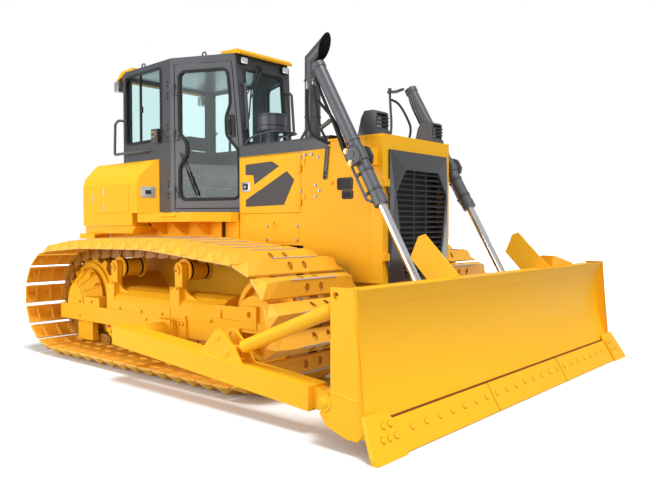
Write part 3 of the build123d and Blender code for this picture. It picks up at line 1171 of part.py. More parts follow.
NODES = {
    "main_frame": main_frame(),
    "drawbar": drawbar(),
    "rear_deck": rear_deck(),
    "engine_block": engine(),
    "hood": hood(),
    "radiator_guard": radiator_guard(),
    "radiator": radiator(),
    "grille_door": grille_door(),
    "cab_shell": cab_shell(),
    "cab_roof": cab_roof(),
    "front_visor": front_visor(),
    "rear_visor": rear_visor(),
    "handrails": handrails(),
    "rear_tank": rear_tank(),
    "exhaust": exhaust(),
    "exhaust_guard": exhaust_guard(),
    "precleaner": precleaner(),
    "headlamps": headlamps(),
    "seat": seat(),
    "console": console(),
    "blade": blade(),
    "blade_guards": blade_guards(),
    "cutting_edge": cutting_edge(),
}
for name, side in (("right", -1), ("left", 1)):
    NODES["track_" + name] = track(side)
    NODES["sprocket_" + name] = sprocket(side)
    NODES["idler_" + name] = idler(side)
    NODES["rollers_" + name] = rollers(side)
    NODES["track_frame_" + name] = track_frame(side)
    NODES["fender_" + name] = fender(side)
    NODES["side_frame_" + name] = side_frame(side)
    NODES["engine_door_" + name] = engine_door(side)
    NODES["side_box_" + name] = side_box(side)
    NODES["cab_door_" + name] = cab_door(side)
    NODES["lift_barrel_" + name] = lift_barrel(side)
    NODES["lift_rod_" + name] = lift_rod(side)
    NODES["push_arm_" + name] = push_arm(side)
    NODES["brace_" + name] = brace(side)

os.makedirs("parts", exist_ok=True)
for name, shape in NODES.items():
    export_step(Pos(-ORIGIN_X, 0, 0) * shape, f"parts/{name}.step")
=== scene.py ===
import math
import bpy
from mathutils import Matrix, Vector
from mathutils.geometry import convex_hull_2d


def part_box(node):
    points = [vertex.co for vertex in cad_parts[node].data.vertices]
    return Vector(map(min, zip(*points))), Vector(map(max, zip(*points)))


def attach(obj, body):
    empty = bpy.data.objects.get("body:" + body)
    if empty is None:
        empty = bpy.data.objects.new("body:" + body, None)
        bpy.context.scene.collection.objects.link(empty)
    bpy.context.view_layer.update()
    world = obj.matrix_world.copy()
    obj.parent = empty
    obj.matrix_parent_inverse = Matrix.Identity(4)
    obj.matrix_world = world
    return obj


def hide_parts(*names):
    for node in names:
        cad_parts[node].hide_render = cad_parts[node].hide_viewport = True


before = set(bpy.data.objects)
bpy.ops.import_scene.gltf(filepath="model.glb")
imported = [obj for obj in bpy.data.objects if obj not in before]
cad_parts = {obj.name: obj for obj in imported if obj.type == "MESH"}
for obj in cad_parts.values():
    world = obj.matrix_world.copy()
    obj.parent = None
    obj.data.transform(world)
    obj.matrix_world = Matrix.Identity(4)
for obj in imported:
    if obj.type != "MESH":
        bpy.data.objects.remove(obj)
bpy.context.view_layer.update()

# --- Camera ----------------------------------
# It stands off the front right corner of the machine at chest height and looks
# very slightly down, with a moderately wide lens.
HEADING, DIP, ROLL = math.radians(40.9), math.radians(1.5), math.radians(-0.1)
camera_data = bpy.data.cameras.new("camera")
camera_data.sensor_fit = "HORIZONTAL"
camera_data.sensor_width = 36
camera_data.lens = 37.2
camera_data.clip_end = 200
camera = bpy.data.objects.new("camera", camera_data)
bpy.context.collection.objects.link(camera)
camera.location = (4.801, -5.057, 1.318)
camera.rotation_euler = (
    Matrix.Rotation(HEADING, 4, "Z") @ Matrix.Rotation(math.pi / 2 - DIP, 4, "X") @ Matrix.Rotation(ROLL, 4, "Z")
).to_euler()
bpy.context.scene.camera = camera
bpy.context.scene.view_settings.view_transform = "Standard"


# --- Studio ----------------------------------
# A wide pale floor under a white surround, as in a daylight studio: an even sky, a
# broad soft lamp high on the right and large panels that gloss on the blade and sides.
class Net:
    """An output of a node tree. Sums, products and powers of it add Math nodes."""

    def __init__(self, tree, socket=None):
        self.tree, self.socket = tree, socket

    def add(self, kind, settings=None, inputs=None, output=0):
        """Adds a node of this type, sets it up, feeds its sockets, returns one output."""
        node = self.tree.nodes.new("ShaderNode" + kind)
        for name, value in (settings or {}).items():
            setattr(node, name, value)
        for name, value in (inputs or {}).items():
            if isinstance(value, Net):
                self.tree.links.new(value.socket, node.inputs[name])
            else:
                node.inputs[name].default_value = value
        return Net(self.tree, node.outputs[output])

    def math(self, operation, first, second=0.0):
        return self.add("Math", {"operation": operation}, {0: first, 1: second})

    def clamped(self):
        return self.add("Clamp", None, {0: self})

    def place(self):
        """Where a point lies in the machine's frame."""
        return self.add("TexCoord", None, None, "Object")

    def noise(self, scale, detail):
        return self.add("TexNoise", None, {"Vector": self.place(), "Scale": scale, "Detail": detail})

    def dot(self, first, second):
        return self.add("VectorMath", {"operation": "DOT_PRODUCT"}, {0: first, 1: second}, "Value")

    def scaled(self, colour, tone):
        """A colour made lighter or darker by a value."""
        return self.add("VectorMath", {"operation": "SCALE"}, {0: colour, "Scale": tone})

    def edges(self, radius):
        """A normal rounded at sharp edges, and how far it turns from the face."""
        rounded = self.add("Bevel", {"samples": 4}, {"Radius": radius})
        return rounded, 1 - self.dot(rounded, self.add("NewGeometry", None, None, "Normal"))

    def __add__(self, other):
        return self.math("ADD", self, other)

    def __radd__(self, other):
        return self.math("ADD", other, self)

    def __sub__(self, other):
        return self.math("SUBTRACT", self, other)

    def __rsub__(self, other):
        return self.math("SUBTRACT", other, self)

    def __mul__(self, other):
        return self.math("MULTIPLY", self, other)

    def __rmul__(self, other):
        return self.math("MULTIPLY", other, self)

    def __pow__(self, other):
        return self.math("POWER", self, other)


def open_material(name):
    """A new material, its Net and its Principled shader."""
    material = bpy.data.materials.new(name)
    material.use_nodes = True
    return material, Net(material.node_tree), material.node_tree.nodes["Principled BSDF"]


def feed(net, shader, **sockets):
    """Sets or links the shader's sockets; a name's underscores stand for blanks."""
    for name, value in sockets.items():
        socket = shader.inputs[name.replace("_", " ")]
        if isinstance(value, Net):
            net.tree.links.new(value.socket, socket)
        else:
            socket.default_value = value


SKY = 0.32
world = bpy.data.worlds.new("surround")
world.use_nodes = True
bpy.context.scene.world = world
net = Net(world.node_tree)
seen, glossy, through = (net.add("LightPath", None, None, "Is " + kind + " Ray")
                         for kind in ("Camera", "Glossy", "Transmission"))
seen = (seen + glossy * 0.35 + through).clamped()
background = world.node_tree.nodes["Background"]
background.inputs["Color"].default_value = (1, 1, 1, 1)
world.node_tree.links.new((SKY + seen * (1 - SKY)).socket, background.inputs["Strength"])

bpy.ops.object.select_all(action="DESELECT")
bpy.ops.mesh.primitive_plane_add(size=120, location=(0, 0, 0))
floor = bpy.context.object
floor.name = "studio_floor"
PALE, GLOW_START, GLOW_RISE = (0.955, 0.978, 1.0), 4.5, 0.16
material, net, shader = open_material("studio_floor")
seen, glossy = (net.add("LightPath", None, None, "Is " + kind + " Ray") for kind in ("Camera", "Glossy"))
clear = (seen + glossy).clamped()
distance = net.add("VectorMath", {"operation": "LENGTH"}, {0: net.place()}, "Value")
glow = ((distance - GLOW_START) * GLOW_RISE).clamped() * clear
feed(net, shader, Base_Color=net.scaled(PALE, clear * 0.55 + 0.44), Roughness=0.95, Specular_IOR_Level=0.05,
     Emission_Strength=1.0, Emission_Color=net.scaled((1.0, 1.0, 1.0), glow))
floor.data.materials.append(material)


def lamp(name, kind, place, aim, power, **settings):
    """A sun or an area lamp that points from its place to its aim."""
    data = bpy.data.lights.new(name, kind)
    data.energy = power
    for setting, value in settings.items():
        setattr(data, setting, value)
    fixture = bpy.data.objects.new(name, data)
    bpy.context.collection.objects.link(fixture)
    fixture.location = place
    fixture.rotation_euler = (Vector(aim) - Vector(place)).to_track_quat("-Z", "Y").to_euler()


lamp("high_sun", "SUN", (3.6, -1.2, 9.0), (0, 0, 0), 2.5, angle=math.radians(20))
lamp("front_panel", "AREA", (8.5, -5.5, 3.4), (1.5, 0, 0.9), 175, shape="RECTANGLE", size=6, size_y=4)
lamp("side_panel", "AREA", (-2.5, -8.5, 3.6), (-0.5, 0, 1.0), 250, shape="RECTANGLE", size=7, size_y=3.5)
lamp("low_panel", "AREA", (-3.0, -9.0, 1.6), (0.0, -1.0, 0.9), 210, shape="RECTANGLE", size=9, size_y=2.4)


# --- Paint -----------------------------------
# Two-pack machine enamel over primed steel plate: a fine orange peel in the gloss, a
# little tone drift from panel to panel, and slightly rounded edges painted paler as a painted highlight.
def paint(name, colour, roughness, coat=0.25, edge=0.006, peel=0.03, drift=0.06, metallic=0.0, specular=0.3):
    """Enamel, plating, rubber or plastic over a hard piece."""
    material, net, shader = open_material(name)
    cloud = net.noise(7.0, 5.0)
    rounded, turned = net.edges(edge)
    # the edge term lifts the tone where edges turn: a painted highlight along sharp edges
    tone = (net.noise(0.9, 3.0) - 0.5) * drift + (cloud - 0.5) * drift * 0.5 + 1.0 + (turned * 6.0).clamped() * 0.1
    bump = net.add("Bump", None, {"Strength": peel, "Distance": 0.001, "Height": net.noise(210.0, 2.0),
                                  "Normal": rounded})
    feed(net, shader, Base_Color=net.scaled(colour, tone), Roughness=roughness + (cloud - 0.5) * 0.12, Normal=bump,
         Coat_Weight=coat, Coat_Roughness=0.12, Specular_IOR_Level=specular, Metallic=metallic)
    return material


GREY = (0.062, 0.066, 0.074)
yellow_enamel = paint("yellow_enamel", (0.97, 0.500, 0.016), 0.50, coat=0.04, specular=0.16)
grey_enamel = paint("grey_enamel", GREY, 0.42)
black_enamel = paint("black_enamel", (0.018, 0.018, 0.02), 0.5, coat=0.1)
surround_enamel = paint("surround_enamel", (0.040, 0.042, 0.049), 0.34, coat=0.6, peel=0.008)
barrel_enamel = paint("barrel_enamel", (0.088, 0.094, 0.105), 0.40, coat=0.08, peel=0.01, specular=0.5)
chromed = paint("chromed", (0.8, 0.8, 0.82), 0.12, coat=0.0, drift=0.02, peel=0.0, metallic=1.0)
SLOTS = {"yellow_enamel": "yellow_paint", "shoe_enamel": "yellow_paint", "chain_grime_and_shade": "yellow_paint",
         "grey_enamel": "grey_paint"}


def finish_nodes(material, *names):
    """Gives CAD nodes this finish, on both sides where a name has a right and a left."""
    for name in names:
        for full in (name, name + "_right", name + "_left"):
            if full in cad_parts:
                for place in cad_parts[full].material_slots:
                    place.material = material


finish_nodes(yellow_enamel, "main_frame", "rear_deck", "drawbar", "track", "sprocket", "idler", "rollers",
             "track_frame", "fender", "side_frame", "engine_door", "radiator_guard", "rear_tank", "side_box",
             "push_arm", "brace", "blade", "cutting_edge", "blade_guards", "front_visor", "rear_visor")
finish_nodes(grey_enamel, "hood", "exhaust", "headlamps", "precleaner", "handrails", "exhaust_guard")
finish_nodes(surround_enamel, "grille_door")
finish_nodes(barrel_enamel, "lift_barrel")
finish_nodes(black_enamel, "engine_block", "radiator", "console", "seat")
finish_nodes(chromed, "lift_rod")

# --- Tracks ----------------------------------
# Swamp shoes of pressed and welded plate: a hipped ridge, hollow and ribbed inside,
# with two pairs of bolt pockets, bolted to forged link chains. Their ridges are worn.
SIDES = ((-1, "right"), (1, "left"))
AXLE_Z, IDLER_X = 0.590, 2.767
AXLE = (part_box("idler_right")[0][0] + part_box("idler_right")[1][0]) / 2 - IDLER_X
TRACK_Y = (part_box("track_left")[0][1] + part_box("track_left")[1][1]) / 2
SHOE_HALF = (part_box("track_left")[1][1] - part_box("track_left")[0][1]) / 2
SHOES = 41
FOOT, RIM, TIP = 0.043, 0.058, 0.150
CARRIERS = ((0.660, 0.918), (1.710, 0.928))
PIN_LINE = [(0.0, AXLE_Z, 0.440)] + [(x, z, 0.154) for x, z in CARRIERS] + [(IDLER_X, 0.569, 0.419)]


def pick(*pieces):
    """Selects these pieces alone, the first one active."""
    bpy.ops.object.select_all(action="DESELECT")
    for piece in pieces:
        piece.select_set(True)
    bpy.context.view_layer.objects.active = pieces[0]


def fresh(name, add, **options):
    """A primitive with nothing else selected, its place kept in its mesh."""
    bpy.ops.object.select_all(action="DESELECT")
    add(**options)
    bpy.ops.object.transform_apply()
    bpy.context.object.name = name
    return bpy.context.object


def edit(piece, action, **options):
    """Runs an edit mode operator on all of a piece."""
    pick(piece)
    bpy.ops.object.mode_set(mode="EDIT")
    bpy.ops.mesh.select_all(action="SELECT")
    action(**options)
    bpy.ops.object.mode_set(mode="OBJECT")


def apply(piece, kind, **settings):
    """Adds a modifier with these settings and applies it."""
    pick(piece)
    modifier = piece.modifiers.new(kind.title(), kind)
    for name, value in settings.items():
        setattr(modifier, name, value)
    bpy.ops.object.modifier_apply(modifier=modifier.name)


def slab(name, points, axis, start, end, bevel=0.0):
    """A plate with this outline, as thick as it is from start to end along an axis."""
    low, high = sorted((start, end))
    plate = fresh(name, bpy.ops.mesh.primitive_circle_add, vertices=len(points), fill_type="NGON")
    for corner, (a, b) in zip(plate.data.vertices, points):
        corner.co = [(low, a, b), (a, low, b), (a, b, low)][axis]
    lift = [0.0, 0.0, 0.0]
    lift[axis] = high - low
    edit(plate, bpy.ops.mesh.extrude_region_move, TRANSFORM_OT_translate={"value": lift})
    edit(plate, bpy.ops.mesh.normals_make_consistent)
    if bevel:
        apply(plate, "BEVEL", width=bevel, segments=2, limit_method="ANGLE")
    return plate


def oblong(a0, b0, a1, b1):
    """The corners of a rectangle."""
    return [(a0, b0), (a1, b0), (a1, b1), (a0, b1)]


def disc(name, radius, depth, place, vertices, **options):
    """A cylinder about its middle."""
    return fresh(name, bpy.ops.mesh.primitive_cylinder_add, vertices=vertices, radius=radius, depth=depth,
                 location=place, **options)


def join(name, pieces):
    """Several meshes as one."""
    pick(*pieces)
    if len(pieces) > 1:
        bpy.ops.object.join()
    pieces[0].name = name
    return pieces[0]


def twin(piece):
    """A copy with its own mesh."""
    other = piece.copy()
    other.data = piece.data.copy()
    bpy.context.collection.objects.link(other)
    return other


def copies(name, first, turns):
    """A copy of the first piece for each matrix, joined."""
    twins = [twin(first) for turn in turns]
    for piece, turn in zip(twins, turns):
        piece.data.transform(turn)
    return join(name, twins)


def remove(*pieces):
    """Clears away the pieces that others were cut with or copied from."""
    for piece in pieces:
        bpy.data.objects.remove(piece)


def settle(piece, material, body="chassis", slot=None, angle=35):
    """Moves a piece from the axle's frame to the machine's, finishes it, and puts it on its body."""
    piece.data.transform(Matrix.Translation((AXLE, 0, 0)))
    piece.data.materials.clear()
    piece.data.materials.append(material)
    pick(piece)
    if angle:
        bpy.ops.object.shade_smooth_by_angle(angle=math.radians(angle))
    else:
        bpy.ops.object.shade_flat()
    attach(piece, body)
    slot = slot or SLOTS.get(material.name)
    return piece


def fit(name, pieces, material, body="chassis", slot=None):
    """Settles several meshes as one piece."""
    return settle(join(name, pieces), material, body, slot)


def pin_line():
    """The belt round sprocket, carrier rollers and idler, from under the sprocket backwards."""
    rims = [(x + r * math.cos(math.radians(a / 2)), z + r * math.sin(math.radians(a / 2)))
            for x, z, r in PIN_LINE for a in range(720)]
    belt = [Vector(rims[i]) for i in convex_hull_2d(rims)]
    start = min(range(len(belt)), key=lambda i: (belt[i] - Vector((0, 0.150))).length)
    belt = belt[start:] + belt[:start]
    if belt[5].x > 0:
        belt = belt[:1] + belt[:0:-1]
    return belt + belt[:1]


def link_turns(y):
    """Where each link lies: X along the track, Y across it, Z outwards."""
    belt = pin_line()
    lengths = [(b - a).length for a, b in zip(belt, belt[1:])]
    pitch = sum(lengths) / SHOES
    pins, gone, i = [], 0.0, 0
    for number in range(SHOES + 1):
        while i < len(lengths) - 1 and gone + lengths[i] < number * pitch:
            gone += lengths[i]
            i += 1
        pins.append(belt[i].lerp(belt[i + 1], min(1.0, (number * pitch - gone) / lengths[i])))
    turns = []
    for a, b in zip(pins, pins[1:]):
        along, middle = (b - a).normalized(), (a + b) / 2
        turns.append(Matrix(((along.x, 0, -along.y, middle.x), (0, 1, 0, y),
                             (along.y, 0, along.x, middle.y), (0, 0, 0, 1))))
    return turns, pitch


pitch = link_turns(0)[1]
across, out = pitch / 2 - 0.006, SHOE_HALF
ridge = [(-out, RIM + 0.004), (0.060 - out, TIP - 0.024), (0.180 - out, TIP - 0.004), (0, TIP),
         (out - 0.180, TIP - 0.004), (out - 0.060, TIP - 0.024), (out, RIM + 0.004)]


def shoe_shell(name, half, foot, rim, line):
    """A ridged prism: its section is extruded along the shoe and its ridge lowered at the ends."""
    section = [(-half, foot), (half, foot), (half, rim), (0, line[0][1]), (-half, rim)]
    shell = slab(name, section, 1, line[0][0], line[-1][0])
    for y, z in line[1:-1]:
        edit(shell, bpy.ops.mesh.bisect, plane_co=(0, y, 0), plane_no=(0, 1, 0))
    for corner in shell.data.vertices:
        if abs(corner.co.x) < 0.001 and corner.co.z > foot + 0.001:
            corner.co.z = dict((round(y, 4), z) for y, z in line)[round(corner.co.y, 4)]
    return shell


def at_bolts(name, radius, low, high, vertices=14):
    """Upright cylinders at the four bolts of a shoe."""
    return join(name, [disc(name, radius, high - low, (x, y, (low + high) / 2), vertices)
                       for x in (-0.050, 0.050) for y in (-0.082, 0.082)])


shoe = shoe_shell("track_shoe", across, FOOT, RIM, ridge)
inside = [(0.016 - out, RIM - 0.008), *[(y * 0.97, z - 0.014) for y, z in ridge[1:-1]], (out - 0.016, RIM - 0.008)]
hollow = shoe_shell("hollow", across - 0.012, FOOT - 0.01, RIM - 0.010, inside)
whole = twin(shoe)
pockets = at_bolts("pockets", 0.024, FOOT + 0.015, 0.19)
wells = at_bolts("bolt_wells", 0.029, FOOT + 0.004, 0.18)
for piece, operation, tool in ((shoe, "DIFFERENCE", hollow), (shoe, "DIFFERENCE", pockets),
                               (wells, "INTERSECT", whole), (wells, "DIFFERENCE", pockets)):
    apply(piece, "BOOLEAN", operation=operation, object=tool, solver="EXACT")
parts = [shoe, wells, at_bolts("shoe_bolts", 0.016, FOOT + 0.014, FOOT + 0.031, vertices=6)]
half = across - 0.006
for y in (-0.43, -0.27, -0.135, 0.135, 0.27, 0.43):
    height = TIP - (0.04 if abs(y) > 0.4 else 0.02)
    parts.append(slab("rib", [(-half, FOOT + 0.004), (half, FOOT + 0.004), (half, RIM - 0.006), (0.0, height),
                              (-half, RIM - 0.006)], 1, y - 0.004, y + 0.004))
parts.append(slab("sole", oblong(-half, -0.125, half, 0.125), 2, FOOT + 0.001, FOOT + 0.014))
shoe = join("track_shoe", parts)
remove(hollow, pockets, whole)

LINK_Y, LINK_SPLAY = 0.080, 0.0154
crosswise = {"rotation": (math.pi / 2, 0, 0)}
bar = [(-pitch / 2, -0.024), (-0.040, -0.056), (0.040, -0.056), (pitch / 2, -0.024), (pitch / 2, 0.022),
       (0.050, 0.044), (-0.050, 0.044), (-pitch / 2, 0.022)]
links = []
for edge in (-1, 1):
    for end in (-1, 1):
        eye = (end * pitch / 2, edge * (LINK_Y - end * LINK_SPLAY), 0)
        links.append(disc("link_eye", 0.047, 0.034, eye, 18, **crosswise))
    links.append(slab("link_bar", bar, 1, edge * LINK_Y - 0.017, edge * LINK_Y + 0.017, bevel=0.004))
    links.append(disc("pin_end", 0.023, 0.012, (-pitch / 2, edge * 0.114, 0), 14, **crosswise))
links.append(disc("bushing", 0.031, 0.14, (-pitch / 2, 0, 0), 14, **crosswise))
link = join("track_link", links)


def worn_paint(name, colour, wear, radius, height):
    """Enamel whose sharp outer edges are rubbed down to bright steel."""
    material, net, shader = open_material(name)
    cloud, grit = net.noise(6.0, 5.0), net.noise(60.0, 4.0)
    rounded, turned = net.edges(radius)
    rubbed = (turned * wear - 0.35 + (grit - 0.5) * 0.5).clamped()
    painted = net.scaled(colour, (cloud - 0.5) * 0.14 + 1.0)
    shade = net.add("Mix", {"data_type": "RGBA"}, {0: rubbed, 6: painted, 7: (0.52, 0.47, 0.42, 1)}, 2)
    bump = net.add("Bump", None, {"Strength": 0.12, "Distance": height, "Height": grit, "Normal": rounded})
    feed(net, shader, Base_Color=shade, Roughness=rubbed * -0.08 + 0.44 + (cloud - 0.5) * 0.1, Normal=bump,
         Metallic=rubbed * 0.6)
    return material


strip = slab("ridge_strip", [(-0.006, -0.26), (0.006, -0.26), (0.008, 0.0), (0.006, 0.26), (-0.006, 0.26),
                             (-0.008, 0.0)], 2, TIP - 0.010, TIP - 0.0004)
rubbed_steel = worn_paint("rubbed_steel", (0.50, 0.42, 0.36), 1.0, 0.002, 0.001)
shoe_enamel = worn_paint("shoe_enamel", (0.90, 0.46, 0.030), 2.2, 0.007, 0.002)
# the chain is painted dark brown: grime, and painted shade for the shadow between the links
chain_grime_and_shade = worn_paint("chain_grime_and_shade", (0.40, 0.18, 0.015), 0.5, 0.004, 0.002)
for side, name in SIDES:
    turns = link_turns(side * TRACK_Y)[0]
    shoes = settle(copies("track_shoes_" + name, shoe, turns), shoe_enamel, angle=0)
    chain = settle(copies("track_chain_" + name, link, turns), chain_grime_and_shade)
    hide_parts("track_" + name)
    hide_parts("track_" + name)
    settle(copies("track_ridges_" + name, strip, turns), rubbed_steel)
remove(shoe, link, strip)


# --- Track frames ----------------------------
# Box frames in enamel: hex bolts hold the covers and trunnion brackets, red caps close
# the rollers' oil ports, and the final drive guard has five welded ribs.
def bolt_rows(name, places, facing, radius, material, body="chassis"):
    """Hex bolts on washers at these places, all facing one way."""
    washer = disc("washer", radius * 1.35, radius * 0.3, (0, 0, radius * 0.15), 16)
    head = disc("head", radius, radius * 0.8, (0, 0, radius * 0.6), 6)
    apply(head, "BEVEL", width=radius * 0.1, segments=1)
    turn = Vector(facing).to_track_quat("Z", "Y").to_matrix().to_4x4()
    bolt = join("bolt", [washer, head])
    row = copies(name, bolt, [Matrix.Translation(place) @ turn for place in places])
    remove(bolt)
    return settle(row, material, body, angle=40)


def rod(name, start, end, radius, vertices=20):
    """A round bar between two places."""
    run = Vector(end) - Vector(start)
    bar = fresh(name, bpy.ops.mesh.primitive_cylinder_add, vertices=vertices, radius=radius, depth=run.length)
    turn = run.to_track_quat("Z", "Y").to_matrix().to_4x4()
    bar.data.transform(Matrix.Translation((Vector(start) + Vector(end)) / 2) @ turn)
    return bar


def cross_rod(name, x, z, y0, y1, radius, vertices=20):
    """A round bar straight across the machine."""
    return rod(name, (x, y0, z), (x, y1, z), radius, vertices)


zinc = paint("zinc_plate", (0.34, 0.34, 0.35), 0.38, coat=0.0, edge=0.002, metallic=0.9)
brass = paint("brass", (0.66, 0.46, 0.20), 0.32, coat=0.0, edge=0.002, metallic=0.9)
rubber = paint("rubber", (0.014, 0.014, 0.015), 0.62, coat=0.0, edge=0.003, peel=0.1)
red_cap = paint("red_cap", (0.62, 0.012, 0.02), 0.4, edge=0.003)

COVER_BOLTS = ((0.10, 0.545), (0.33, 0.555), (0.86, 0.530), (1.22, 0.530), (1.55, 0.530), (1.90, 0.530),
               (2.24, 0.530), (0.10, 0.40), (1.30, 0.46), (2.42, 0.44))
SEAT_BOLTS = [(x, z) for x in (1.83, 1.88) for z in (0.475, 0.345)]
POST_BOLTS = [(x + dx, 0.775) for x, z in CARRIERS for dx in (-0.025, 0.055)]
ring = [math.radians(i * 360 / 26) for i in range(26)]
RING_BOLTS = [(0.300 * math.cos(a), AXLE_Z + 0.300 * math.sin(a)) for a in ring]
RIB = [(0.295, 1.247), (0.150, 1.383), (0.150, 1.391), (0.295, 1.258)]
for side, name in SIDES:
    # the sprocket bolts take the chain's dark brown of grime and painted shade
    for nick, places, y, radius, material in (("cover_bolts_", COVER_BOLTS, 1.402, 0.011, yellow_enamel),
                                              ("trunnion_bolts_", SEAT_BOLTS, 1.421, 0.015, yellow_enamel),
                                              ("post_bolts_", POST_BOLTS, 1.395, 0.012, yellow_enamel),
                                              ("sprocket_bolts_", RING_BOLTS, 1.185, 0.014, chain_grime_and_shade)):
        bolt_rows(nick + name, [(x, side * y, z) for x, z in places], (0, side, 0), radius, material)
    pins, caps, grooves = [], [], []
    for x, z in CARRIERS:
        pins.append(cross_rod("post_pin", x - 0.012, z + 0.03, side * 1.338, side * 1.352, 0.024))
        caps.append(cross_rod("oil_cap", x - 0.012, z, side * 1.350, side * 1.360, 0.013))
        for y in (1.052, 1.228):
            grooves.append(cross_rod("carrier_groove", x, z, side * y, side * (y + 0.020), 0.0915, 40))
    for i in range(7):
        caps.append(cross_rod("oil_cap", 0.520 + i * 1.730 / 6, 0.312, side * 1.315, side * 1.325, 0.013))
    fit("post_pins_" + name, pins, yellow_enamel)
    fit("carrier_grooves_" + name, grooves, rubber)
    fit("oil_caps_" + name, caps, red_cap)
    ribs = []
    for angle in (25, 55, 85, 115, 145):
        c, s = math.cos(math.radians(angle)), math.sin(math.radians(angle))
        rib = slab("guard_rib", RIB, 2, -0.006, 0.006)
        rib.data.transform(Matrix(((c, 0, -s, 0), (0, side, 0, 0), (s, 0, c, AXLE_Z), (0, 0, 0, 1))))
        if side < 0:
            rib.data.flip_normals()
        ribs.append(rib)
    fit("guard_ribs_" + name, ribs, yellow_enamel)

# --- Push arms -------------------------------
# Box arms with pin caps at the blade, turned pin ends and weld beads round the ears.
PIN_CAPS = ((4.010, 1.937, 0.225, 0.044, 40), (4.010, 1.944, 0.225, 0.014, 28), (3.050, 1.921, 0.435, 0.026, 28),
            (2.955, 1.921, 0.536, 0.026, 28), (4.070, 1.911, 0.838, 0.030, 28))
BLADE_BODY = "blade_group"


def knob(name, place, facing, radius, depth, vertices=28):
    """A low round head on a surface, its rim rounded."""
    head = rod(name, place, Vector(place) + Vector(facing).normalized() * depth, radius, vertices)
    apply(head, "BEVEL", width=depth * 0.4, segments=2, limit_method="ANGLE")
    return head


for side, name in SIDES:
    caps = [knob("pin_cap", (x, side * y, z), (0, side, 0), radius, 0.008, vertices)
            for x, y, z, radius, vertices in PIN_CAPS]
    fit("arm_caps_" + name, caps, yellow_enamel, BLADE_BODY)
    beads = [rod("bead", (2.735, side * y, 0.408), (3.195, side * y, 0.346), 0.006, 10)
             for y in (1.778, 1.798, 1.902, 1.922)]
    fit("ear_beads_" + name, beads, yellow_enamel, BLADE_BODY)

# --- Blade -----------------------------------
# Wear plates and bosses welded to the end plates, and cutting edges bolted on below a
# joint whose shadow is painted as a dark strip, as are the splits between the edges.
painted_gap_shadow = paint("painted_gap_shadow", (0.16, 0.045, 0.004), 0.8, coat=0.0, edge=0.001)
rim_paint = paint("rim_paint", (0.55, 0.22, 0.008), 0.7, coat=0.0, edge=0.001)
EDGE_TOP, EDGE_FOOT, EDGE_OUT = Vector((4.392, 0, 0.190)), Vector((4.500, 0, 0.004)), Vector((0.8648, 0, 0.5021))
BIT_TOP, BIT_FOOT, BIT_OUT = Vector((4.381, 0, 0.246)), Vector((4.518, 0, 0.0)), Vector((0.8737, 0, 0.4866))
EDGE_PITCH = 0.157
BIT_BOLTS = ((0.30, 1.860), (0.30, 1.925), (0.56, 1.845), (0.56, 1.910), (0.56, 1.975))
WEAR_PLATE = [(4.134, 0.348), (4.338, 0.322), (4.350, 0.238), (4.392, 0.150), (4.336, 0.090), (4.250, 0.092),
              (4.095, 0.143), (4.048, 0.212), (4.124, 0.314)]
BOSS_X, BOSS_Z = 4.085, 0.276
heads = [(EDGE_TOP.lerp(EDGE_FOOT, 0.42) + Vector((0, side * EDGE_PITCH * (k + 0.5), 0)), EDGE_OUT)
         for k in range(11) for side in (-1, 1)]
heads += [(BIT_TOP.lerp(BIT_FOOT, share) + Vector((0, side * y, 0)), BIT_OUT)
          for side in (-1, 1) for share, y in BIT_BOLTS]
bolts = [knob("edge_bolt", spot - facing * 0.001, facing, 0.019, 0.007, 20) for spot, facing in heads]
fit("edge_bolts", bolts, yellow_enamel, BLADE_BODY)
rims = [rod("bolt_rim", spot - facing * 0.001, spot + facing * 0.0012, 0.0228, 20) for spot, facing in heads]
fit("bolt_rims", rims, rim_paint, BLADE_BODY)
# dark strips along the joint and in the splits: a painted shadow in the seams
joint = [slab("joint", [(4.3665, 0.184), (4.3935, 0.1915), (4.3915, 0.1955), (4.3655, 0.1935)], 1, -1.801, 1.801)]
for y in (-0.619, 0.617):
    joint.append(slab("split_shadow", [(4.3905, 0.1895), (4.3935, 0.1910), (4.5010, 0.0065), (4.498, 0.005)], 1,
                      y, y + 0.002))
fit("edge_joint_shadows", joint, painted_gap_shadow, BLADE_BODY)
for side, name in SIDES:
    wear = [slab("wear_plate", WEAR_PLATE, 1, side * 2.050, side * 2.057),
            cross_rod("boss", BOSS_X, BOSS_Z, side * 2.027, side * 2.062, 0.052, 40),
            knob("boss_cap", (BOSS_X, side * 2.061, BOSS_Z), (0, side, 0), 0.030, 0.006),
            knob("boss_core", (BOSS_X, side * 2.067, BOSS_Z), (0, side, 0), 0.009, 0.004)]
    for (x0, z0), (x1, z1) in zip(WEAR_PLATE[:2], WEAR_PLATE[1:3]):
        wear.append(rod("bead", (x0, side * 2.0535, z0), (x1, side * 2.0535, z1), 0.005, 10))
    wear.append(rod("bead", (4.366, side * 2.026, 0.190), (4.302, side * 2.026, 0.950), 0.004, 10))
    fit("blade_wear_" + name, wear, yellow_enamel, BLADE_BODY)

# --- Lift cylinders --------------------------
# Painted steel barrels on trunnion yokes, with cast caps held by brass-coloured bolts,
# rubber hoses in clamps along the back, and hard-chromed rods.
YOKE, DOWN, FRONT = Vector((3.287, 0, 1.903)), Vector((0.4880, 0, -0.8729)), Vector((0.8729, 0, 0.4880))
BARREL_Y = 0.704
CAP_CORNERS = ((-0.070, -0.046), (-0.046, -0.074), (0.046, -0.074), (0.074, -0.036), (0.074, 0.046), (0.040, 0.092),
               (-0.040, 0.092), (-0.070, 0.046))
LONG_HOSE = [(0.030, -0.062, 0.775), (-0.060, -0.086, 0.775), (-0.30, -0.080, 0.735), (-0.55, -0.079, 0.725),
             (-0.80, -0.074, 0.720), (-0.872, -0.050, 0.712)]
SHORT_HOSE = [(-0.040, -0.070, 0.745), (-0.20, -0.090, 0.705), (-0.42, -0.086, 0.690)]
TO_BONNET = [(-0.60, -0.150, 0.670), (-0.70, -0.190, 0.640)]


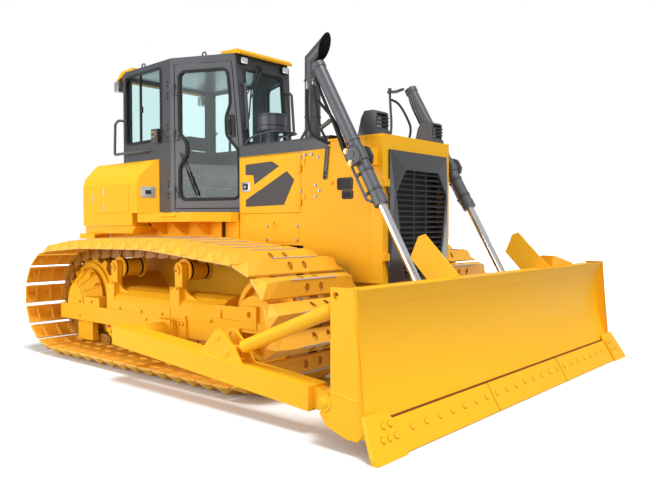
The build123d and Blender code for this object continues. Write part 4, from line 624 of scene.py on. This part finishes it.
def pipe(name, points, radius, resolution=6, closed=False):
    """A tube along a smooth curve through these points."""
    curve = bpy.data.curves.new(name, "CURVE")
    curve.dimensions = "3D"
    curve.bevel_depth, curve.bevel_resolution, curve.use_fill_caps = radius, 3, True
    spline = curve.splines.new("NURBS")
    spline.points.add(len(points) - 1)
    for knot, place in zip(spline.points, points):
        knot.co = (*place, 1)
    spline.order_u, spline.use_endpoint_u, spline.resolution_u = 3, not closed, resolution
    spline.use_cyclic_u = closed
    tube = bpy.data.objects.new(name, curve)
    bpy.context.collection.objects.link(tube)
    pick(tube)
    bpy.ops.object.convert(target="MESH")
    return bpy.context.object


def along(side, distance, forward, y):
    """A place at this distance down the barrel from its yoke, this far before its axis."""
    return YOKE + DOWN * distance + FRONT * forward + Vector((0, side * y, 0))


cap = [(spot.x, spot.z) for spot in (along(0, distance, forward, 0) for forward, distance in CAP_CORNERS)]
turn = Matrix(((DOWN.x, 0, -FRONT.x, 0), (0, 1, 0, 0), (DOWN.z, 0, -FRONT.z, 0), (0, 0, 0, 1)))
for side, name in SIDES:
    body = "lift_barrel_" + name
    caps = [slab("yoke_cap", cap, 1, side * 0.772, side * 0.812, bevel=0.008),
            slab("yoke_cap", cap, 1, side * 0.6165, side * 0.6365, bevel=0.008),
            rod("cap_boss", along(side, 0, 0, 0.811), along(side, 0, 0, 0.822), 0.036)]
    fit("yoke_caps_" + name, caps, grey_enamel, body)
    for nick, y, facing in (("outer_", 0.812, side), ("inner_", 0.6165, -side)):
        places = [along(side, distance, forward, y) for distance, forward in ((-0.052, -0.034), (0.056, -0.040))]
        bolt_rows("cap_bolts_" + nick + name, places, (0, facing, 0), 0.017, brass, body)
    plugs = [rod("cap_plug", along(side, -0.060, 0, 0.792), along(side, -0.080, 0, 0.792), 0.012),
             rod("cap_plug", along(side, 0, -0.058, 0.792), along(side, 0, -0.078, 0.792), 0.012)]
    fit("cap_plugs_" + name, plugs, red_cap, body)
    hoses = [pipe("hose", [along(side, *spot) for spot in route], 0.0135)
             for route in (LONG_HOSE, SHORT_HOSE + TO_BONNET if side < 0 else SHORT_HOSE)]
    fit("lift_hoses_" + name, hoses, rubber, body)
    clamps = []
    for distance in (0.150, 0.330):
        clamps.append(rod("clamp", along(side, distance - 0.012, 0, BARREL_Y),
                          along(side, distance + 0.012, 0, BARREL_Y), 0.0605, 32))
        tab = slab("tab", oblong(-0.012, -0.014, 0.012, 0.014), 2, 0.050, 0.094, bevel=0.003)
        tab.data.transform(Matrix.Translation(along(side, distance, 0, 0.738)) @ turn)
        clamps.append(tab)
    fit("barrel_clamps_" + name, clamps, grey_enamel, body)
    places = [along(side, -0.9255, 0.030 * f, BARREL_Y + 0.030 * g) for f, g in oblong(1, 1, -1, -1)]
    bolt_rows("head_bolts_" + name, places, -DOWN, 0.010, grey_enamel, body)

# --- Hose runs beside the bonnet -------------
# Steel pipes with zinc fittings rise from the bonnet to swivels, and rubber hoses hang
# from them to the cylinders.
y = -0.560
hoses = [pipe("hose", [(2.580, y, 2.560), (2.572, y, 2.420), (2.585, y, 2.260), (2.620, y, 2.150),
                       (2.700, -0.530, 2.100), (2.780, -0.506, 2.060)], 0.014),
         pipe("hose", [(2.653, y, 2.590), (2.690, y, 2.400), (2.715, y, 2.265), (2.750, -0.540, 2.130),
                       (2.800, -0.507, 2.054)], 0.012)]
fit("bonnet_hoses_right", hoses, rubber)
ends = [rod("fitting", (2.580, y, 2.555), (2.584, y, 2.625), 0.015, 6),
        rod("fitting", (2.653, y, 2.585), (2.650, y, 2.625), 0.013, 6)]
fit("hose_fittings_right", ends, zinc)
irons = [slab("hose_arm", [(2.555, 2.622), (2.680, 2.618), (2.680, 2.640), (2.555, 2.644)], 1, y - 0.022, y + 0.022,
              bevel=0.004),
         rod("hose_post", (2.480, -0.330, 2.632), (2.620, y, 2.632), 0.010),
         slab("hose_tie", [(2.735, 2.195), (2.765, 2.180), (2.875, 2.235), (2.860, 2.262)], 1, y - 0.030, y + 0.004,
              bevel=0.004)]
fit("hose_irons_right", irons, grey_enamel)


def upright(name, x, y, z0, z1, radius, vertices=20):
    """A vertical round bar."""
    return rod(name, (x, y, z0), (x, y, z1), radius, vertices)


y = 0.600
irons = [pipe("hose_pipe", [(2.655, y, 2.690), (2.662, y, 2.540), (2.680, y, 2.350), (2.700, 0.540, 2.200),
                            (2.710, 0.495, 2.110)], 0.013),
         slab("hose_arm", [(2.630, 2.680), (2.735, 2.672), (2.825, 2.690), (2.825, 2.712), (2.735, 2.700),
                           (2.630, 2.706)], 1, y - 0.014, y + 0.014, bevel=0.004),
         upright("hose_knob", 2.655, y, 2.700, 2.730, 0.018)]
fit("hose_irons_left", irons, grey_enamel)
hose = pipe("hose", [(2.680, y, 2.610), (2.745, y, 2.585), (2.815, 0.610, 2.490), (2.870, 0.620, 2.380),
                     (2.900, 0.620, 2.310), (2.900, 0.600, 2.210), (2.885, 0.545, 2.130), (2.875, 0.500, 2.090)],
            0.012)
fit("bonnet_hoses_left", [hose], rubber)


# --- Bonnet and engine doors -----------------
# Folded sheet: doors with rubber-edged mesh openings and paddle latches, bolted side
# sheets, cast vent grids, and a slotted strap that braces the exhaust.
def mesh_cloth(name, colour, wires):
    """Woven wire mesh: a fine grid of rounded wires, the crests painted lighter as a painted highlight and the gaps
    painted dark as painted shade of the inside.
    """
    material, net, shader = open_material(name)
    waves = [net.math("ABSOLUTE", net.math("SINE", net.add("SeparateXYZ", None, {0: net.place()}, axis) * wires))
             for axis in "XZ"]
    height = net.math("MAXIMUM", *waves)
    bump = net.add("Bump", None, {"Strength": 0.5, "Distance": 0.002, "Height": height})
    # colour follows the wire height: painted highlight on the crests, painted shade between the wires
    feed(net, shader, Base_Color=net.scaled(colour, height ** 3.0 * 0.9 + 0.25), Roughness=0.55, Normal=bump)
    return material


wire_mesh = mesh_cloth("wire_mesh", (0.055, 0.055, 0.06), 520.0)
OPENINGS = ([(1.687, 1.940), (2.065, 1.950), (2.164, 1.899), (1.816, 1.736), (1.802, 1.830), (1.687, 1.836)],
            [(2.266, 1.849), (2.363, 1.763), (2.223, 1.528), (1.684, 1.519), (1.685, 1.588)])
SIDE_BOLTS = ((2.659, 1.946), (2.628, 1.698), (2.673, 1.649), (2.628, 1.594), (2.500, 1.980), (2.580, 1.980))
VENTS = ((2.895, 1.642, 3.068, 1.748, 5), (2.948, 1.562, 3.072, 1.638, 4))
CHAMFER = 0.012
for side, name in SIDES:
    door = "engine_door_" + name
    meshes = []
    for outline in OPENINGS:
        middle = [sum(values) / len(outline) for values in zip(*outline)]
        inner = [[m + 0.975 * (value - m) for m, value in zip(middle, corner)] for corner in outline]
        meshes.append(slab("mesh", inner, 1, side * 0.4965, side * 0.4985))
    fit("door_meshes_" + name, meshes, wire_mesh, door)
    latch = [slab("latch_plate", oblong(1.632, 1.672, 1.757, 1.767), 1, side * 0.500, side * 0.503, bevel=0.0012),
             cross_rod("latch_lock", 1.692, 1.718, side * 0.506, side * 0.512, 0.013)]
    fit("door_latch_" + name, latch, zinc, door)
    paddle = slab("latch_paddle", oblong(1.660, 1.690, 1.728, 1.750), 1, side * 0.503, side * 0.5065, bevel=0.002)
    settle(paddle, rubber, door)
    for nick, places, y, radius in (("side_bolts_", SIDE_BOLTS, 0.5045, 0.012),
                                    ("cover_bolts_low_", oblong(2.000, 1.330, 2.398, 1.200), 0.5045, 0.011)):
        bolt_rows(nick + name, [(x, side * y, z) for x, z in places], (0, side, 0), radius, zinc)
    bolt_rows("guard_bolts_" + name, [(2.820, side * 0.516, 0.909), (3.011, side * 0.520, 0.917)], (0, side, 0),
              0.014, zinc)
    grip = fresh("grip", bpy.ops.mesh.primitive_torus_add, major_radius=0.030, minor_radius=0.006,
                 major_segments=20, minor_segments=8, location=(2.110, side * 0.506, 1.345), **crosswise)
    settle(grip, yellow_enamel)
    vents = []
    for x0, z0, x1, z1, bars in VENTS:
        vents.append(slab("vent", [(x0 + CHAMFER, z0), (x1 - CHAMFER, z0), (x1, z0 + CHAMFER), (x1, z1 - CHAMFER),
                                   (x1 - CHAMFER, z1), (x0 + CHAMFER, z1), (x0, z1 - CHAMFER), (x0, z0 + CHAMFER)],
                          1, side * 0.514, side * 0.524, bevel=0.002))
        for i in range(bars):
            z = z0 + 0.022 + i * (z1 - z0 - 0.044) / (bars - 1)
            vents.append(rod("vent_bar", (x0 + 0.018, side * 0.525, z), (x1 - 0.018, side * 0.525, z), 0.0035, 10))
    fit("vent_grids_" + name, vents, black_enamel, slot="black_paint")
    settle(cross_rod("side_plug", 2.826, 1.711, side * 0.508, side * 0.530, 0.016), yellow_enamel)
strap = slab("stack_strap", [(2.764, 2.034), (2.802, 2.034), (2.772, 1.760), (2.758, 1.742), (2.740, 1.742),
                             (2.730, 1.760)], 1, -0.5245, -0.5165, bevel=0.0015)
settle(strap, grey_enamel)
bolt_rows("strap_bolts", [(2.750, -0.5245, 1.765), (2.753, -0.5245, 1.80)], (0, -1, 0), 0.009, black_enamel)

# --- Stack -----------------------------------
# Steel tube in grey enamel, mitred and welded at its bend and sooty inside its mouth,
# with a collar for its bracket and a flange that sits on the bonnet.
soot = paint("soot", (0.010, 0.0095, 0.009), 0.85, coat=0.0, edge=0.001, peel=0.15)


def open_tube(name, start, end, radius):
    """A straight tube without ends."""
    return disc(name, radius, (end - start).length, (start + end) / 2, 64, end_fill_type="NOTHING",
                rotation=(end - start).to_track_quat("Z", "Y").to_euler())


def slide_onto(tube, start, end, point, normal):
    """Moves the ring nearer the end along the tube onto the plane through this point."""
    axis = (end - start).normalized()
    for corner in tube.data.vertices:
        if (corner.co - (start + end) / 2).dot(axis) > 0:
            corner.co += axis * ((point - corner.co).dot(normal) / axis.dot(normal))
    return tube


STACK_X, STACK_Y = 2.410, -0.300
STACK_FOOT, ELBOW = Vector((STACK_X, STACK_Y, 2.135)), Vector((STACK_X, STACK_Y, 2.892))
RISE, LEAN = math.radians(34.5), math.radians(19.6)
outward = Vector((math.cos(RISE), 0, math.sin(RISE)))
mitre = (outward + Vector((0, 0, 1))).normalized()
MOUTH, MOUTH_FACE = Vector((2.515, STACK_Y, 2.868)), Vector((math.cos(LEAN), 0, -math.sin(LEAN)))
far_end = ELBOW + outward * 0.200
tubes = []
for radius in (0.075, 0.071):
    rise = slide_onto(open_tube("rise", STACK_FOOT, ELBOW, radius), STACK_FOOT, ELBOW, ELBOW, mitre)
    mouth = slide_onto(open_tube("mouth", ELBOW, far_end, radius), ELBOW, far_end, MOUTH, MOUTH_FACE)
    tubes.append([rise, slide_onto(mouth, far_end, ELBOW, ELBOW, mitre)])
outer, inner = tubes
for tube in inner:
    edit(tube, bpy.ops.mesh.flip_normals)
outer += [upright("collar", STACK_X, STACK_Y, 2.350, 2.362, 0.080, 48),
          upright("flange", STACK_X, STACK_Y, 2.141, 2.153, 0.100, 48)]
stack = fit("stack", outer, grey_enamel)
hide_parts("exhaust")
lining = fit("stack_lining", inner, soot)
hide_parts("exhaust")

# --- Air cleaner and lamps -------------------
# Plastic cyclone bowl with a hoop guard, and lamp boxes whose guard bars stand before
# the reflectors.
hoop = pipe("cleaner_hoop", [(1.560, -0.375, 2.165), (1.600, -0.375, 2.230), (1.900, -0.375, 2.262),
                             (1.985, -0.340, 2.262), (2.000, -0.200, 2.262), (1.985, -0.060, 2.262),
                             (1.900, -0.025, 2.262), (1.690, -0.025, 2.262)], 0.011)
settle(hoop, grey_enamel)
posts = [upright("hoop_post", 1.780, -0.3765, 2.130, 2.252, 0.009),
         upright("hoop_post", 1.990, -0.200, 2.130, 2.262, 0.009)]
fit("hoop_posts", posts, grey_enamel)
bands = [upright("bowl_band", 1.762, -0.200, z, z + 0.008, 0.1495, 48) for z in (2.291, 2.337, 2.437)]
fit("bowl_bands", bands, black_enamel, slot="black_plastic")
lens = paint("lamp_lens", (0.55, 0.57, 0.58), 0.08, coat=1.0, edge=0.001, peel=0.0)
reflector = paint("reflector", (0.85, 0.85, 0.86), 0.12, coat=0.4, edge=0.001, peel=0.3, metallic=0.8)
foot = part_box("headlamps")[0][2]
for side, name in SIDES:
    bars = [slab("lamp_bar", oblong(3.3185, foot + z, 3.334, foot + z + 0.009), 1, side * 0.350, side * 0.515,
                 bevel=0.002) for z in (0.082, 0.112, 0.142)]
    fit("lamp_bars_" + name, bars, black_enamel, slot="black_paint")
    pane = slab("lamp_glass", oblong(side * 0.372, foot + 0.066, side * 0.493, foot + 0.174), 0, 3.2605, 3.270,
                bevel=0.004)
    settle(pane, lens)
grips = [pipe("bonnet_rail", [(2.100, y, 2.139), (2.100, y, 2.180), (2.220, y, 2.180), (2.220, y, 2.139)], 0.008)
         for y in (-0.440, 0.440)]
fit("bonnet_grips", grips, grey_enamel)

# --- Cab -------------------------------------
# Six-sided welded cab: green-tinted safety glass in black rubber seals, strap hinges,
# pull handles, a gas strut by the door, wipers, work lamps and lifting eyes.
REAR_X, REAR_Y, POST_X, POST_Y, SLANT = -0.230, 0.650, 0.740, 0.700, 0.44512
SCREEN_X, SCREEN_Z, SCREEN_LEAN = 1.560, 1.428, 0.140 / 1.682


def flank(x):
    """Half the cab's width at this distance in front of the axle."""
    if x > POST_X:
        return POST_Y - SLANT * (x - POST_X)
    return REAR_Y + (POST_Y - REAR_Y) * (x - REAR_X) / (POST_X - REAR_X)


def screen(z):
    """Where the windscreen's outer face stands at this height."""
    return SCREEN_X - SCREEN_LEAN * (z - SCREEN_Z)


def onto_flank(piece, side):
    """Takes a piece drawn flat, with y as the depth inside the flank, onto the cab's flank."""
    for corner in piece.data.vertices:
        corner.co.y = side * (flank(corner.co.x) - corner.co.y)
    edit(piece, bpy.ops.mesh.normals_make_consistent)
    return piece


def onto_screen(piece):
    """The same onto the leaning windscreen, with x as the depth inside it."""
    for corner in piece.data.vertices:
        corner.co.x = screen(corner.co.z) - corner.co.x
    edit(piece, bpy.ops.mesh.normals_make_consistent)
    return piece


def glass(name, tint, haze=0.012):
    """Tinted safety glass with a faint film of dust."""
    material, net, shader = open_material(name)
    clear = net.add("BsdfTransparent", None, {"Color": tint})
    gloss = net.add("BsdfGlossy", None, {"Color": (1, 1, 1, 1), "Roughness": 0.02})
    rim = net.add("LayerWeight", None, {"Blend": 0.5}, "Facing") ** 5.0 * 0.5 + 0.010
    mixed = net.add("MixShader", None, {0: (rim + net.noise(3.0, 4.0) * haze).clamped(), 1: clear, 2: gloss})
    net.tree.links.new(mixed.socket, material.node_tree.nodes["Material Output"].inputs["Surface"])
    return material


def rounded(points, radius, steps=4):
    """An outline with its corners rounded off."""
    outline = []
    for i, corner in enumerate(points):
        before, here, after = Vector(points[i - 1]), Vector(corner), Vector(points[(i + 1) % len(points)])
        reach = min(radius, (before - here).length * 0.45, (after - here).length * 0.45)
        start, end = here + (before - here).normalized() * reach, here + (after - here).normalized() * reach
        for k in range(steps + 1):
            t = k / steps
            outline.append(tuple(start.lerp(here, t).lerp(here.lerp(end, t), t)))
    return outline


def dark_inside(name, colour, lining, centre):
    """Enamel outside, and near black on all that faces the cab's inside."""
    material = paint(name, colour, 0.42)
    net, shader = Net(material.node_tree), material.node_tree.nodes["Principled BSDF"]
    outside = Net(net.tree, shader.inputs["Base Color"].links[0].from_socket)
    ray = net.add("VectorMath", {"operation": "SUBTRACT"}, {0: net.place(), 1: centre})
    inward = (net.dot(ray, net.add("NewGeometry", None, None, "Normal")) * -30.0).clamped()
    mixed = net.add("Mix", {"data_type": "RGBA"}, {"Factor": inward, "A": outside, "B": lining}, "Result")
    feed(net, shader, Base_Color=mixed)
    return material


def seal(name, outline, axis, depth, radius=0.017):
    """A rubber section pressed round an opening, drawn flat at this depth."""
    points = [((depth, a, b), (a, depth, b))[axis] for a, b in rounded(outline, 0.045)]
    return pipe(name, points, radius, resolution=1, closed=True)


# every face turned to the cab's inside is drawn near black
cab_enamel = dark_inside("cab_enamel", GREY, (0.016, 0.016, 0.018, 1), (0.660 + AXLE, 0, 2.300))
finish_nodes(cab_enamel, "cab_shell", "cab_roof", "cab_door")
cab_glass = glass("cab_glass", (0.89, 0.972, 0.970, 1))
head, foot, knee = 2.955, 1.613, 2.215
high, low = screen(head) - 0.083, screen(foot) - 0.081
door_window = [(0.835, head - 0.040), (0.875, head), (high - 0.040, head), (high, head - 0.040),
               (high + 0.028, 2.600), (high - 0.022, 2.460), (high - 0.017, 2.270), (low - 0.005, 2.110),
               (low, foot + 0.040), (low - 0.040, foot), (0.875, foot), (0.835, foot + 0.050), (0.835, 1.955),
               (0.915, 2.075), (0.915, knee), (0.835, knee + 0.095)]
side_window = oblong(-0.170, 2.270, 0.560, 3.035)
front_window = oblong(-0.280, 2.150, 0.280, 2.958)
rear_window = oblong(-0.560, 2.270, 0.560, 3.035)
PANE = (0.014, 0.020)
HINGES = [(0.822, z + dz) for z in (1.633, 2.233, 2.695) for dz in (0.014, 0.046)]
STRAPS = [(0.690, z + dz) for z in (1.633, 1.76, 2.233, 2.36, 2.695, 2.82) for dz in (0.0, 0.046)]
FITTINGS = ((0.472, 2.345), (0.500, 2.345), (0.530, 2.345), (0.486, 2.300), (0.520, 2.295), (0.545, 2.320))
GRIP = [(1.388, -0.008, 2.272), (1.388, -0.034, 2.285), (1.384, -0.038, 2.355), (1.378, -0.034, 2.425),
        (1.376, -0.008, 2.440)]
for side, name in SIDES:
    door = "cab_door_" + name
    settle(onto_flank(slab("door_glass", rounded(door_window, 0.04), 1, *PANE), side), cab_glass, door)
    settle(onto_flank(seal("door_seal", door_window, 1, 0.004), side), rubber, door)
    settle(onto_flank(slab("side_glass", side_window, 1, *PANE), side), cab_glass)
    bars = [seal("side_seal", side_window, 1, 0.002),
            slab("mullion", oblong(0.115, 2.275, 0.142, 3.030), 1, 0.004, 0.026, bevel=0.003),
            slab("slide_latch", oblong(0.150, 2.60, 0.185, 2.67), 1, -0.004, 0.014, bevel=0.003)]
    settle(onto_flank(join("side_seals", bars), side), rubber)
    plate = rounded([(1.352, 2.245), (1.430, 2.245), (1.420, 2.480), (1.340, 2.480)], 0.02)
    handle = [slab("handle_plate", plate, 1, -0.010, 0.002, bevel=0.003), pipe("handle_grip", GRIP, 0.010),
              cross_rod("handle_lock", 1.380, 2.462, -0.008, -0.018, 0.010)]
    settle(onto_flank(join("door_handle", handle), side), black_enamel, door, "black_plastic")
    for nick, places, face, rise, radius, body in (
            ("door_hinge_bolts_", HINGES, Vector((0.4066, side * 0.9136, 0)), 0.0095, 0.007, door),
            ("post_hinge_bolts_", STRAPS, Vector((-0.0515, side * 0.9987, 0)), 0.0015, 0.008, "chassis")):
        bolt_rows(nick + name, [Vector((x, side * flank(x), z)) + face * rise for x, z in places], face, radius,
                  black_enamel, body)
    strut = [rod("strut_rod", (0.862, side * 0.668, 2.105), (0.955, side * 0.626, 1.860), 0.007),
             rod("strut_tube", (0.940, side * 0.633, 1.900), (1.035, side * 0.590, 1.650), 0.012)]
    fit("gas_strut_" + name, strut, rubber, door)
    valves = [cross_rod("brass_fitting", x, z, side * 0.744, side * 0.759, 0.010, 12) for x, z in FITTINGS]
    fit("valve_fittings_" + name, valves, brass)

settle(onto_screen(slab("screen_glass", front_window, 0, *PANE)), cab_glass)
settle(onto_screen(seal("screen_seal", front_window, 0, 0.003)), rubber)
settle(slab("rear_glass", rear_window, 0, *[REAR_X + depth for depth in PANE]), cab_glass)
settle(seal("rear_seal", rear_window, 0, REAR_X + 0.003), rubber)

wipers = []
for y0, z0, y1, z1 in ((-0.050, 3.000, -0.235, 2.640), (-0.095, 3.005, -0.270, 2.700)):
    wipers.append(pipe("wiper_arm", [(-0.030, y0, z0), (-0.034, (y0 + y1) / 2, (z0 + z1) / 2), (-0.016, y1, z1)],
                       0.006))
wipers.append(pipe("wiper_blade", [(-0.008, -0.190, 2.830), (-0.008, -0.225, 2.640), (-0.008, -0.262, 2.440)], 0.008))
wipers.append(rod("wiper_motor", (-0.045, -0.070, 3.005), (0.0, -0.070, 3.005), 0.022))
settle(onto_screen(join("wipers", wipers)), black_enamel)


def lamp_part(name, y, half, low, high, back, front, bevel):
    """A lamp's shell or lens: a rounded box about y."""
    return slab(name, rounded(oblong(y - half, low, y + half, high), 0.012), 0, back, front, bevel=bevel)


lamps, rear_lamps, faces = [], [], []
for side in (-1, 1):
    y = side * 0.300
    lamps.append(lamp_part("work_lamp", y, 0.048, 3.005, 3.075, 1.405, 1.462, 0.004))
    lamps.append(upright("lamp_stalk", 1.430, y, 3.070, 3.112, 0.012))
    faces.append(lamp_part("work_lens", y, 0.043, 3.010, 3.070, 1.4615, 1.466, 0.002))
    y = side * 0.610
    rear_lamps.append(lamp_part("rear_lamp", y, 0.055, 2.900, 3.020, -0.392, -0.310, 0.004))
    lamps.append(upright("rear_stalk", -0.345, y, 3.015, 3.060, 0.012))
    lamps.append(slab("rear_bracket", oblong(-0.370, 2.930, -0.232, 2.960), 1, y - 0.02, y + 0.02))
    faces.append(lamp_part("rear_lens", y, 0.048, 2.907, 3.013, -0.398, -0.3915, 0.002))
fit("work_lamps", lamps, black_enamel, slot="black_plastic")
fit("rear_lamps", rear_lamps, zinc)
fit("work_lenses", faces, reflector)
eyes = []
for x, y in ((0.145, -0.625), (1.060, -0.500), (0.145, 0.625), (1.060, 0.500)):
    hoop = ((-0.028, 3.085), (-0.030, 3.130), (-0.024, 3.154), (0.024, 3.154), (0.030, 3.130), (0.028, 3.085))
    eyes.append(pipe("lifting_eye", [(x + dx, y, z) for dx, z in hoop], 0.008))
fit("lifting_eyes", eyes, grey_enamel)


# --- Seat and controls -----------------------
# A suspension seat in black woven cloth over foam, with a head rest and arm pads, on a
# moulded base; gauges in the console, and joystick levers at the arm pads' ends.
def cloth(name, colour, threads=900.0):
    """Plain-woven upholstery cloth."""
    material, net, shader = open_material(name)
    weft, warp = (net.add("TexWave", {"bands_direction": axis},
                          {"Vector": net.place(), "Scale": threads, "Distortion": 0.4}) for axis in "XZ")
    weave = (weft + warp) * 0.5
    shade = net.scaled(colour, weave * 0.5 + net.noise(30.0, 4.0) * 0.5 + 0.4)
    bump = net.add("Bump", None, {"Strength": 0.4, "Distance": 0.001, "Height": weave})
    feed(net, shader, Base_Color=shade, Roughness=0.9, Normal=bump, Sheen_Weight=0.3)
    return material


def cushion(name, low, high, crown, tuck):
    """A crowned pad whose sides pull in between its corners."""
    size, middle = Vector(high) - Vector(low), (Vector(low) + Vector(high)) / 2
    pad = fresh(name, bpy.ops.mesh.primitive_cube_add, size=1, location=middle, scale=size)
    edit(pad, bpy.ops.mesh.subdivide, number_cuts=7)
    thin = min(range(3), key=lambda i: size[i])
    wide = [i for i in range(3) if i != thin]
    for corner in pad.data.vertices:
        t = corner.co - middle
        a, b = (t[i] * 2 / size[i] for i in wide)
        t[thin] *= 1 - crown + crown * (1 - a * a) * (1 - b * b)
        t[wide[0]] *= 1 - tuck * (1 - b * b) * abs(a)
        t[wide[1]] *= 1 - tuck * (1 - a * a) * abs(b)
        corner.co = middle + t
    apply(pad, "SUBSURF", levels=2, render_levels=2)
    return pad


seat_cloth = cloth("seat_cloth", (0.030, 0.031, 0.035))
low, high = [Vector(corner) - Vector((AXLE, 0, 0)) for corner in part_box("seat")]
pads = [("seat_cushion", (low.x + 0.095, -0.240, high.z - 0.745), (high.x, 0.240, high.z - 0.605), 0.30, 0.04),
        ("seat_back", (low.x + 0.002, -0.238, high.z - 0.640), (low.x + 0.118, 0.238, high.z - 0.165), 0.34, 0.05),
        ("head_rest", (low.x + 0.002, -0.138, high.z - 0.160), (low.x + 0.092, 0.138, high.z - 0.002), 0.30, 0.04)]
for side, name in SIDES:
    y0, y1 = sorted((side * 0.245, side * 0.330))
    pads.append(("arm_pad_" + name, (low.x + 0.080, y0, high.z - 0.512), (high.x - 0.060, y1, high.z - 0.455),
                 0.30, 0.03))
for name, start, end, crown, tuck in pads:
    pad = settle(cushion(name, start, end, crown, tuck), seat_cloth, slot="seat_fabric", angle=180)
    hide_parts("seat")
base = [slab("suspension", [(low.x + 0.130, low.z), (high.x - 0.060, low.z), (high.x - 0.080, high.z - 0.748),
                            (low.x + 0.150, high.z - 0.748)], 1, -0.175, 0.175, bevel=0.010)]
for z in (0.03, 0.06, 0.09, 0.12):
    base.append(slab("bellows", oblong(low.x + 0.124, low.z + z, high.x - 0.056, low.z + z + 0.012), 1,
                     -0.181, 0.181, bevel=0.004))
for side in (-1, 1):
    base.append(upright("rest_post", low.x + 0.17, side * 0.285, high.z - 0.80, high.z - 0.500, 0.022))
    base.append(slab("rest_arm", oblong(low.x + 0.11, high.z - 0.815, low.x + 0.23, high.z - 0.775), 1,
                     side * 0.170, side * 0.325, bevel=0.006))
    base.append(upright("rest_tube", low.x + 0.035, side * 0.075, high.z - 0.20, high.z - 0.12, 0.008))
base = fit("seat_frame", base, black_enamel, slot="black_plastic")
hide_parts("seat")
for side, name in SIDES:
    y = side * 0.288
    stick = [pipe("lever", [(high.x - 0.10, y, high.z - 0.46), (high.x - 0.09, y, high.z - 0.40),
                            (high.x - 0.085, y, high.z - 0.345)], 0.009),
             fresh("lever_grip", bpy.ops.mesh.primitive_uv_sphere_add, segments=20, ring_count=12, radius=0.024,
                   location=(high.x - 0.083, y, high.z - 0.325), scale=(0.8, 0.8, 1.5))]
    fit("lever_" + name, stick, black_enamel, slot="black_plastic")
face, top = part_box("console")[0][0] - AXLE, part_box("console")[1][2]
dials = [rod("gauge", (face + 0.062, y, top - 0.056), (face + 0.050, y, top - 0.041), 0.030, 24)
         for y in (-0.13, -0.045, 0.045, 0.13)]
fit("gauges", dials, reflector)

# --- Side boxes, tank and fenders ------------
# Folded and welded plate lockers with piano hinges and zinc-plated latches; the fenders
# carry a bolt row at the cab's foot and a grab handle on the lip.
SLOPE_START, SLOPE_END = Vector((0.408, 0.900)), Vector((0.520, 0.690))
ALONG = (SLOPE_END - SLOPE_START).normalized()
OFF = Vector((-ALONG.y, ALONG.x))


def on_slope(name, side, half, inner, outer, z0, z1, bevel):
    """A plate about the middle of the box's slanting face, from inner to outer off it."""
    corners = [SLOPE_START.lerp(SLOPE_END, 0.5) + ALONG * a + OFF * b for a, b in oblong(-half, inner, half, outer)]
    return slab(name, [(p.x, side * p.y) for p in corners], 2, z0, z1, bevel=bevel)


for side, name in SIDES:
    strips = [upright("hinge_strip", x, side * 0.9065, z0, z1, 0.007, 12)
              for x, z0, z1 in ((-0.235, 1.500, 1.600), (-0.235, 1.660, 1.760), (-0.470, 1.620, 1.700))]
    fit("box_hinges_" + name, strips, zinc)
    plates = [on_slope("latch", side, 0.075, 0, 0.003, 1.640, 1.760, 0.0012),
              on_slope("latch", side, 0.0525, 0, 0.008, 1.660, 1.740, 0.0012)]
    fit("box_latch_" + name, plates, zinc)
    settle(on_slope("latch_pull_" + name, side, 0.032, 0.004, 0.010, 1.678, 1.722, 0.002), rubber)
    skirts = [slab("tank_skirt", [(-0.690, 1.252), (0.280, 1.252), (0.340, 1.338), (-0.690, 1.338)], 1,
                   side * 0.578, side * 0.878, bevel=0.004),
              slab("deck_cheek", oblong(1.402, 1.160, 1.598, 1.392), 1, side * 0.506, side * 0.518)]
    fit("deck_skirts_" + name, skirts, yellow_enamel)
    strips = [upright("door_hinge", 2.445, side * 0.507, z, z + 0.150, 0.007, 12) for z in (1.513, 1.827)]
    fit("door_strips_" + name, strips, zinc)
    bolt_rows("fender_bolts_" + name, [(x, side * 0.712, 1.4705) for x in (0.56, 0.60, 0.80, 0.95)], (0, 0, 1), 0.012,
              yellow_enamel)
    half_grab = [(0.86, 0.899, 1.440), (0.86, 0.915, 1.437), (0.87, 0.917, 1.436)]
    grab = pipe("fender_grab", [(x, side * y, z) for x, y, z in half_grab]
                + [(1.95 - x, side * y, z) for x, y, z in reversed(half_grab)], 0.008)
    settle(grab, yellow_enamel)
cap = knob("tank_cap", (-0.560, -0.250, 2.158), (0, 0, 1), 0.066, 0.012)
settle(cap, black_enamel, slot="black_plastic")
